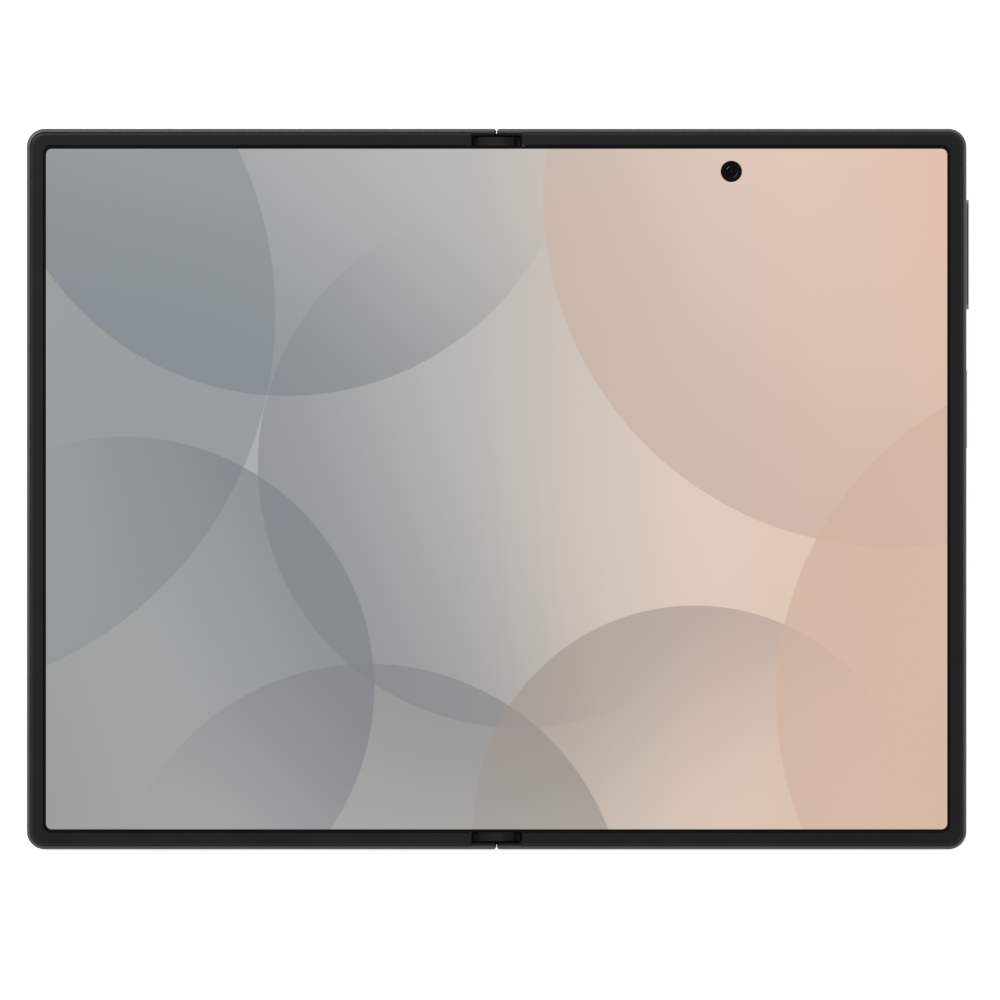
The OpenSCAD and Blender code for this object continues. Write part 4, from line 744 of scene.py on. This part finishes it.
def flat_plate(name, outline, low, thick):
    """A plate of an outline in mm, from the height low upwards."""
    shape = bmesh.new()
    face = shape.faces.new([shape.verts.new((x * MM, y * MM, low * MM)) for x, y in outline])
    grown = bmesh.ops.extrude_face_region(shape, geom=[face])["geom"]
    upper = [v for v in grown if isinstance(v, bmesh.types.BMVert)]
    bmesh.ops.translate(shape, verts=upper, vec=(0, 0, thick * MM))
    return as_piece(name, shape)


coil = as_piece("charging_winding", bmesh.new())
run_tree(coil, wound_coil_tree(3), {
    "Centre": (coil_x * MM, coil_y * MM, strand_z * MM), "Turns": coil_turns, "Inner radius": coil_inner * MM,
    "Pitch": coil_pitch * MM, "Strand radius": strand_radius * MM, "Finish": copper.material})
fit(coil, "right_half")
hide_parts("charging_coil")
outline = []
for corner, (right, up) in enumerate(((1, 1), (-1, 1), (-1, -1), (1, -1))):
    for turn in range(90 * corner, 90 * corner + 91, 10):
        outline.append(((sheet_half - sheet_corner) * right + sheet_corner * math.cos(math.radians(turn)),
                        (sheet_half - sheet_corner) * up + sheet_corner * math.sin(math.radians(turn))))
    if corner == 0:
        outline += [(tail_half, sheet_half), (tail_half, tail_end),
                    (-tail_half, tail_end), (-tail_half, sheet_half)]
outline = [(coil_x + x, coil_y + y) for x, y in outline]
fit(flat_plate("charging_ferrite_sheet", outline, sheet_z, sheet_thick), "right_half", copper)
inner_end, lead_end, outer_end = Vector((43.0, -4.0)), Vector((35.3, 13.8)), Vector((33.9, 13.8))
lead_thick = 0.01
aside = (lead_end - inner_end).orthogonal().normalized() * 0.4
outline = [inner_end + aside, inner_end - aside, lead_end - aside, lead_end + aside]
lead = flat_plate("charging_inner_lead", outline, sheet_z - lead_thick, lead_thick)
fit(lead, "right_half", copper)
joints = [(*at, 3.22) for at in (inner_end, lead_end, outer_end)]
set_boxes("charging_solder", (1.0, 1.0, 0.06), joints, solder, "right_half")
contact_row = ((33, 31.1, 3.24), (35.05, 31.1, 3.24))
set_boxes("charging_contacts", (0.5, 1.3, 0.05), [contact_row], gilt, "right_half", 1.0)
film = Surface("polyimide_film", rgb(176, 104, 34), 0.3, Coat_Weight=0.3, Coat_Roughness=0.15)
film_tracks = film.add("TexWave", {"Vector": film.place, "Scale": 520.0, "Distortion": 0.0}, 1,
                       bands_direction="Y")
film_lines = film.spread(film_tracks, 0, 1, 0.5, 0.62, True)
film.paint(film.blend(film.times(film_lines, 0.65), rgb(168, 96, 30), rgb(206, 146, 78)))
film.gloss(film.noise(1.2), 0.22, 0.36).relief(film_lines, 0.012).on("key_switches")


# ---- Back glass, cover glass and cover panel ----
# The back is satin etched glass, coloured on the inside. The other half has clear polished glass
# over the outer display, which is off, so it looks deep black.
back = Surface("etched_back_glass", rgb(66, 68, 73), 0.34, Coat_Weight=0.25, Coat_Roughness=0.22)
frost = back.noise(0.09, 3.0)
smears = back.noise(14, 4.0, None, 0.6)
back.mottle(smears, 0.03).gloss(back.weigh(smears, 0.5, frost), 0.3, 0.42)
back.relief(frost, 0.003, 0.5).on("rear_glass")
cover_eye, picture_half_x, picture_half_y = (-41.5, 53.6, 0), 36, 58.2
cover = Surface("cover_glass_black", rgb(10, 10, 12), 0.05, Specular_IOR_Level=0.22)
prints = cover.noise(11, 5.0, None, 0.62)
lit_area = cover.times(cover.below(cover.off(0, cover_eye[0]), picture_half_x),
                       cover.below(cover.off(1), picture_half_y))
behind = cover.blend(cover.spread(prints, 0, 1), rgb(7, 7, 9), rgb(11, 11, 13))
behind = cover.blend(lit_area, behind, rgb(15, 16, 19))
# The cover camera painted on the glass as rings: a dark rim, a lighter ring, a dark gap, a painted bluish
# glint on the lens, and a dark middle.
for ring, shade in ((1.85, (4, 4, 5)), (1.45, (46, 47, 52)), (1.2, (9, 9, 12)), (0.62, (34, 40, 62)),
                    (0.3, (4, 4, 6))):
    behind = cover.blend(cover.spot(cover_eye, ring), behind, rgb(*shade))
cover.paint(behind).gloss(prints, 0.03, 0.11).relief(prints, 0.001, 0.4).on("cover_glass")
panel = Surface("cover_panel_laminate", rgb(30, 31, 36), 0.2)
cells = panel.add("TexBrick", {"Vector": panel.place, "Scale": 2200.0, "Mortar Size": 0.08,
                               "Color1": (1, 1, 1, 1), "Color2": (0.6, 0.6, 0.6, 1), "Mortar": (0, 0, 0, 1)})
panel.paint(panel.blend(panel.times(cells, 0.5), rgb(24, 25, 30), rgb(40, 42, 50)))
panel.gloss(panel.noise(5), 0.14, 0.26).on("cover_panel")


# ---- Camera island, rings and windows ----
# A raised pill of the frame's metal on the back, a turned ring round each lens, and in each ring
# a window of clear hard glass.
blasted_metal("island_graphite", rgb(76, 78, 84)).on("camera_island")
ring_metal = Surface("ring_metal", rgb(104, 106, 112), 0.24, 0.95)
lathe = ring_metal.noise(0.07)
ring_metal.mottle(ring_metal.noise(3), 0.04).gloss(lathe, 0.16, 0.3)
ring_metal.relief(lathe, 0.002, 0.5).on("camera_rings")
grained("lens_window", (0.97, 0.98, 1.0), 0.02, sheen=(3, 3, 0.01, 0.035), Transmission_Weight=1.0,
        IOR=1.12).on("camera_windows")


# ---- Camera modules, front cameras and flash ----
# Black anodised barrels with stepped baffles, coated lenses with painted glints and a printed border behind
# each window. The flash is a yellow phosphor chip under a moulded lens with fine rings.
barrel = grained("camera_module_black", rgb(26, 26, 29), 0.42, 0.3, clouds=(0.3, 3, 0.12),
                 sheen=(0.12, 2, 0.34, 0.5), pits=(0.08, 2, 0.004, 0.6))
barrel.on("main_camera", "wide_camera", "inner_camera", "cover_camera")


def glinting_lens(name, centre, radius, hues):
    """Dark curved glass with painted reflections: glints in two hues on opposite sides, and a glint in the
    middle.
    """
    glass = Surface(name, (0.006, 0.006, 0.009), 0.06, Specular_IOR_Level=0.2)
    at = glass.moved(centre)
    far, size = glass.length(at), radius * MM
    # Painted reflections: a ring of coloured glints, one hue on each side.
    ring = glass.times(glass.spread(far, 0, 1, 0.1 * size, 0.55 * size, True),
                       glass.spread(far, 1, 0, 0.6 * size, 0.98 * size, True))
    slant = glass.math("SUBTRACT", glass.axis(1, at), glass.axis(0, at))
    hue = glass.blend(glass.spread(slant, 0, 1, -0.8 * size, 0.8 * size, True), *(rgb(*hue) for hue in hues))
    painted_glints = glass.blend(ring, (0.004, 0.004, 0.006), hue)
    # A painted glint in the middle of the lens.
    glass.paint(glass.blend(glass.spot(centre, 0.17 * radius), painted_glints, rgb(46, 46, 62)))
    return glass.gloss(glass.noise(0.5), 0.04, 0.09)


border = grained("window_border", rgb(7, 7, 9), 0.2, clouds=(0.6, 2, 0.2), sheen=(0.4, 2, 0.14, 0.28),
                 Specular_IOR_Level=0.3)
step_high, step_slope, baffle_z = 0.085, 1.6, 1.12
for word, y, mouth, lens, hues in (
        ("main", 45.7, 3.6, 2.6, ((34, 60, 74), (84, 52, 96))),
        ("wide", 27.3, 2.9, 1.95, ((32, 70, 58), (60, 56, 104)))):
    eye = (67, y, 0)
    printed = [(mouth + 0.3, 0.86), (4.95, 0.86), (4.95, 0.95), (mouth + 0.3, 0.95)]
    fit(turned("window_border_" + word, printed, eye), "right_half", border)
    steps = [(mouth - 0.02, baffle_z)]
    for i in range(5):
        low, high = baffle_z + step_high * i, baffle_z + step_high * (i + 1)
        at = mouth - 0.035 - step_slope * (high - baffle_z)
        steps += [(at, low), (at, high)]
    steps.append((mouth - 0.02 - step_slope * 5 * step_high, 1.545))
    fit(turned("camera_baffle_" + word, steps, eye), "right_half", barrel)
    dome = [(0, 1.20), (0.25, 1.204), (0.5, 1.216), (0.75, 1.262), (0.93, 1.33), (1.0, 1.38), (1.0, 1.5),
            (0, 1.5)]
    front = turned("camera_lens_" + word, [(share * lens, z) for share, z in dome], eye)
    fit(front, "right_half", glinting_lens("lens_coating_" + word, eye, lens, hues))

flash = Surface("flash_lens", rgb(206, 203, 190), 0.2, Coat_Weight=0.5, Coat_Roughness=0.05)
flash_flat = flash.flat(flash.moved((54.6, 45.7, 0)))
flash_far = flash.length(flash_flat)
chip = flash.times(*(flash.below(flash.math("ABSOLUTE", flash.axis(i, flash_flat)), 0.49, 0.07, True)
                     for i in (0, 1)))
lens_tone = flash.spread(flash_far, 0, 1, 1.1 * MM, 1.6 * MM)
lens_tone = flash.blend(lens_tone, rgb(212, 208, 190), rgb(166, 165, 160))
flash.paint(flash.blend(chip, lens_tone, rgb(232, 206, 96))).gloss(flash.noise(0.3), 0.16, 0.26)
flash.relief(flash.spread(flash.math("PINGPONG", flash_far, 0.06 * MM), 0, 1, 0, 0.06 * MM), 0.03)
flash.relief(flash.noise(0.15), 0.002, 0.5).on("flash_led")


# ---- Folding display ----
# One polymer display spans both halves and bends between them. It is made here as two sheets that
# meet in the middle, each running from its half to the spine. The picture is lit from within.
display_under, edge_x, edge_y, edge_corner = 6.6, 78.7, 59.9, 1.4
fold_x, fold_y, bend_step = 5.0, 58.8, 0.2
lit_x, lit_y, lit_corner = 77.35, 58.4, 1.0
punch, punch_r = (40.29, 54.53, 0), 1.835


def display_sheet(name, side):
    """A flat sheet from the fold's middle to one outer edge, with many columns where it bends."""
    columns = [i * bend_step for i in range(26)] + [fold_x + 0.001, 12, 30, 50, 70]
    columns += [edge_x - edge_corner * (1 - math.sin(math.radians(a))) for a in range(0, 91, 9)]
    sheet = bmesh.new()
    rows = []
    for x in columns:
        over = max(0.0, x - (edge_x - edge_corner))
        y = edge_y - edge_corner + math.sqrt(max(0.0, edge_corner ** 2 - over ** 2))
        y = min(y, fold_y) if x <= fold_x else y
        rows.append([sheet.verts.new((side * x * MM, b * MM, c * MM)) for b, c in (
            (-y, display_top), (y, display_top), (y, display_under), (-y, display_under))])
    for a, b in zip(rows, rows[1:]):
        for i in range(4):
            sheet.faces.new((a[i], a[(i + 1) % 4], b[(i + 1) % 4], b[i]))
    sheet.faces.new(rows[0])
    sheet.faces.new(rows[-1])
    return as_piece(name, sheet)


sheet_left = display_sheet("display_sheet_left", -1)
sheet_right = display_sheet("display_sheet_right", 1)
tool = bmesh.new()
bmesh.ops.create_cone(tool, cap_ends=True, segments=96, radius1=punch_r * MM, radius2=punch_r * MM,
                      depth=4 * MM)
bmesh.ops.translate(tool, verts=tool.verts, vec=(punch[0] * MM, punch[1] * MM, display_top * MM))
punch_tool = as_piece("punch", tool)
cut = sheet_right.modifiers.new("punch", "BOOLEAN")
cut.operation, cut.solver, cut.object = "DIFFERENCE", "EXACT", punch_tool
plain_mesh(sheet_right)
bpy.data.objects.remove(punch_tool)

lit = Surface("lit_display", (0.004, 0.004, 0.005), 0.1, Specular_IOR_Level=0.35, Emission_Strength=1.0)
flat_place = lit.flat()
across, along = (lit.axis(i, flat_place) for i in (0, 1))


def soft_sheet(under, centre, radius, toward, shade, strength, reach=1.1):
    """A large see-through disc with a crisp edge, shaded most on the side that faces toward (degrees)."""
    away = lit.vector("SUBTRACT", flat_place, (centre[0] * MM, centre[1] * MM, 0))
    inside = lit.below(lit.length(away), radius, 0.1, True)
    facing = (math.cos(math.radians(toward)), math.sin(math.radians(toward)), 0)
    along_it = lit.vector("DOT_PRODUCT", away, facing, 1)
    shaded = lit.spread(along_it, 0, strength, (1 - reach) * radius * MM, radius * MM, True)
    return lit.blend(lit.times(inside, shaded), under, rgb(*shade))


left_to_right = lit.spread(across, 0, 1, -78 * MM, 78 * MM)
picture = ramp(lit.tree, left_to_right, "B_SPLINE", [(at, rgb(*colour)) for at, colour in (
    (0.00, (157, 161, 160)), (0.22, (171, 175, 175)), (0.46, (184, 184, 181)), (0.58, (202, 192, 183)),
    (0.74, (230, 209, 195)), (1.00, (223, 188, 166)))])
low_end = lit.spread(along, 0.5, 0.0, -60 * MM, 10 * MM, True)
picture = lit.blend(low_end, picture, lit.blend(1.0, picture, rgb(238, 238, 235), "MULTIPLY"))
for disc in (
        ((-104, 30), 66, -14, (132, 140, 144), 0.55),
        ((-36, 66), 50, 248, (126, 134, 142), 0.66),
        ((-64, -34), 43, 24, (118, 125, 133), 0.66),
        ((4, 4), 45, 206, (128, 133, 140), 0.62),
        ((-22, -74), 44, 66, (130, 131, 133), 0.60),
        ((68, 50), 60, 224, (202, 179, 165), 0.80),
        ((34, -58), 38, 116, (160, 147, 139), 0.62),
        ((106, -36), 58, 160, (209, 178, 159), 0.75)):
    picture = soft_sheet(picture, *disc)
corner_middle = ((lit_x - lit_corner) * MM, (lit_y - lit_corner) * MM, 0)
past_corner = lit.vector("SUBTRACT", lit.vector("ABSOLUTE", flat_place), corner_middle)
is_border = lit.above(lit.length(lit.vector("MAXIMUM", past_corner)), lit_corner, 0.03)
is_face = lit.above(lit.axis(2), 6.955, 0.025)
picture = lit.blend(is_face, (0.0, 0.0, 0.0), lit.blend(is_border, picture, (0.002, 0.002, 0.002)))
lit.feed("Emission Color", picture).gloss(lit.noise(16, 4.0, None, 0.6), 0.06, 0.16)
crease = lit.spread(lit.math("ABSOLUTE", across), 0, 1, 0, 4 * MM, True)
lit.relief(crease, 0.02, 0.5).relief(lit.noise(0.8), 0.0004, 0.5)
for sheet in (sheet_left, sheet_right):
    sheet.data.materials.clear()
    sheet.data.materials.append(lit.material)
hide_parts("display_left", "display_fold")
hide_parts("display_right")
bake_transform(sheet_left)
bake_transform(sheet_right)


# ---- Steel backing and hinge flex circuits ----
# Under the fold the display is glued to a thin steel sheet, etched through with short slots so
# that it bends. Flex circuits cross the hinge below it. Each is cut at the middle and across in steps.
def bending_copy(node, name, side, cuts, finish, step=0.25):
    """One side of a CAD node as a new piece, cut across every step so that it can bend."""
    shape = bmesh.new()
    shape.from_mesh(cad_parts[node].data)
    bmesh.ops.remove_doubles(shape, verts=shape.verts, dist=0.0005 * MM)

    def cut_at(x, away=(1, 0, 0), **settings):
        everything = shape.verts[:] + shape.edges[:] + shape.faces[:]
        bmesh.ops.bisect_plane(shape, geom=everything, plane_co=(x, 0, 0), plane_no=away, dist=0.0001 * MM,
                               **settings)

    cut_at(0, (side, 0, 0), clear_inner=True)
    bmesh.ops.holes_fill(shape, edges=[e for e in shape.edges if e.is_boundary])
    for i in range(1, cuts):
        cut_at(side * i * step * MM)
    bmesh.ops.triangulate(shape, faces=shape.faces)
    piece = as_piece(name, shape)
    piece.data.materials.append(finish.material)
    return piece


backing_steel = rolled_steel("backing_steel", rgb(150, 151, 155), (1, 0.03, 1))
for side, word in ((-1, "left"), (1, "right")):
    half = word + "_half"
    backing = bending_copy("fold_backplate", "backing_" + word, side, 20, backing_steel)
    flex = bending_copy("hinge_flex_cables", "hinge_flex_" + word, side, 32, film)
    if side < 0:
        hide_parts("fold_backplate")
        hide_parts("hinge_flex_cables")
    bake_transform(backing)
    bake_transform(flex)


# ---- Front camera ----
# The front camera looks through the hole in the display: a black ring, and in its middle a small
# lens with painted violet and green glints and a painted glint in its middle.
porthole_black = grained("porthole_black", rgb(11, 12, 12), 0.3, clouds=(0.5, 2, 0.2),
                         sheen=(0.3, 2, 0.26, 0.4), Specular_IOR_Level=0.12)
ring = [(0.95, 6.76), (1.8, 6.76), (1.8, 6.93), (1.72, 6.96), (1.2, 6.96), (0.98, 6.88)]
fit(turned("front_camera_ring", ring, punch), "right_half", porthole_black)
front_r = 0.94
dome = [(0, 6.90), (0.3, 6.885), (0.6, 6.845), (0.85, 6.79), (front_r, 6.76), (0, 6.76)]
front_lens = turned("front_camera_lens", dome, punch, 64)
front_glints = glinting_lens("front_lens_coating", punch, front_r, ((20, 34, 26), (44, 32, 58)))
fit(front_lens, "right_half", front_glints)


# ---- Bezel rims and hinge caps ----
# A raised rim of satin black polymer is glued round each half's display. It stops short of the
# hinge, where a small cap on the spine covers the end of the fold.
rim = Surface("rim_polymer", rgb(31, 31, 32), 0.42, Specular_IOR_Level=0.2)
rim_grain = rim.noise(0.09, 3.0)
rim.mottle(rim.noise(7, 3.0), 0.08).gloss(rim_grain, 0.34, 0.46)
rim.relief(rim_grain, 0.004, 0.6).on("rim_left", "rim_right")
cap = grained("cap_polymer", rgb(24, 24, 25), 0.5, sheen=(0.12, 2, 0.42, 0.56), pits=(0.12, 2, 0.004, 0.6),
              Specular_IOR_Level=0.15)
# Painted light and shade on the domed cap: lighter along its middle and darker toward its sides, with some
# random tone.
dome_light_and_tone = cap.below(cap.off(0), 1.5, 1.1, True)
dome_light_and_tone = cap.math("MULTIPLY_ADD", cap.noise(0.5, 3.0), 0.2, cap.times(dome_light_and_tone, 0.9))
cap.paint(cap.blend(dome_light_and_tone, rgb(15, 15, 16), rgb(33, 33, 35))).on("hinge_caps")


# ---- Keys and card tray ----
# The volume rocker and the power key stand out of the right edge, and the tray fills a slot in the
# bottom edge. All are milled from the frame's metal and dyed with it. The rims of the keys' crowned
# faces carry a painted highlight, and the power key has a smoother pad that reads a finger.
key_middle, key_flat, crown_x, pad_x, pad_y, pad_half = 4.85, 0.945, 80.72, 80.75, 13.75, 5.25
keys = blasted_metal("key_graphite", rgb(98, 100, 104), 0.28, 0.4)
key_x, key_z = keys.axis(0), keys.off(2, key_middle)
# A painted highlight on the rounded rims of the keys' crowned faces.
crown_highlight = keys.math("SUBTRACT", keys.spread(key_z, 0, 1, 0.25 * MM, 0.75 * MM), keys.above(key_z, key_flat))
keys.overpaint(keys.times(keys.above(key_x, crown_x), crown_highlight), rgb(156, 158, 162))
pad = keys.times(keys.above(key_x, pad_x), keys.below(keys.off(1, pad_y), pad_half))
satin = keys.shader["Roughness"].links[0].from_socket
keys.feed("Roughness", keys.math("MULTIPLY_ADD", pad, -0.14, satin)).on("volume_key", "power_key")
blasted_metal("tray_graphite", graphite).on("sim_tray")
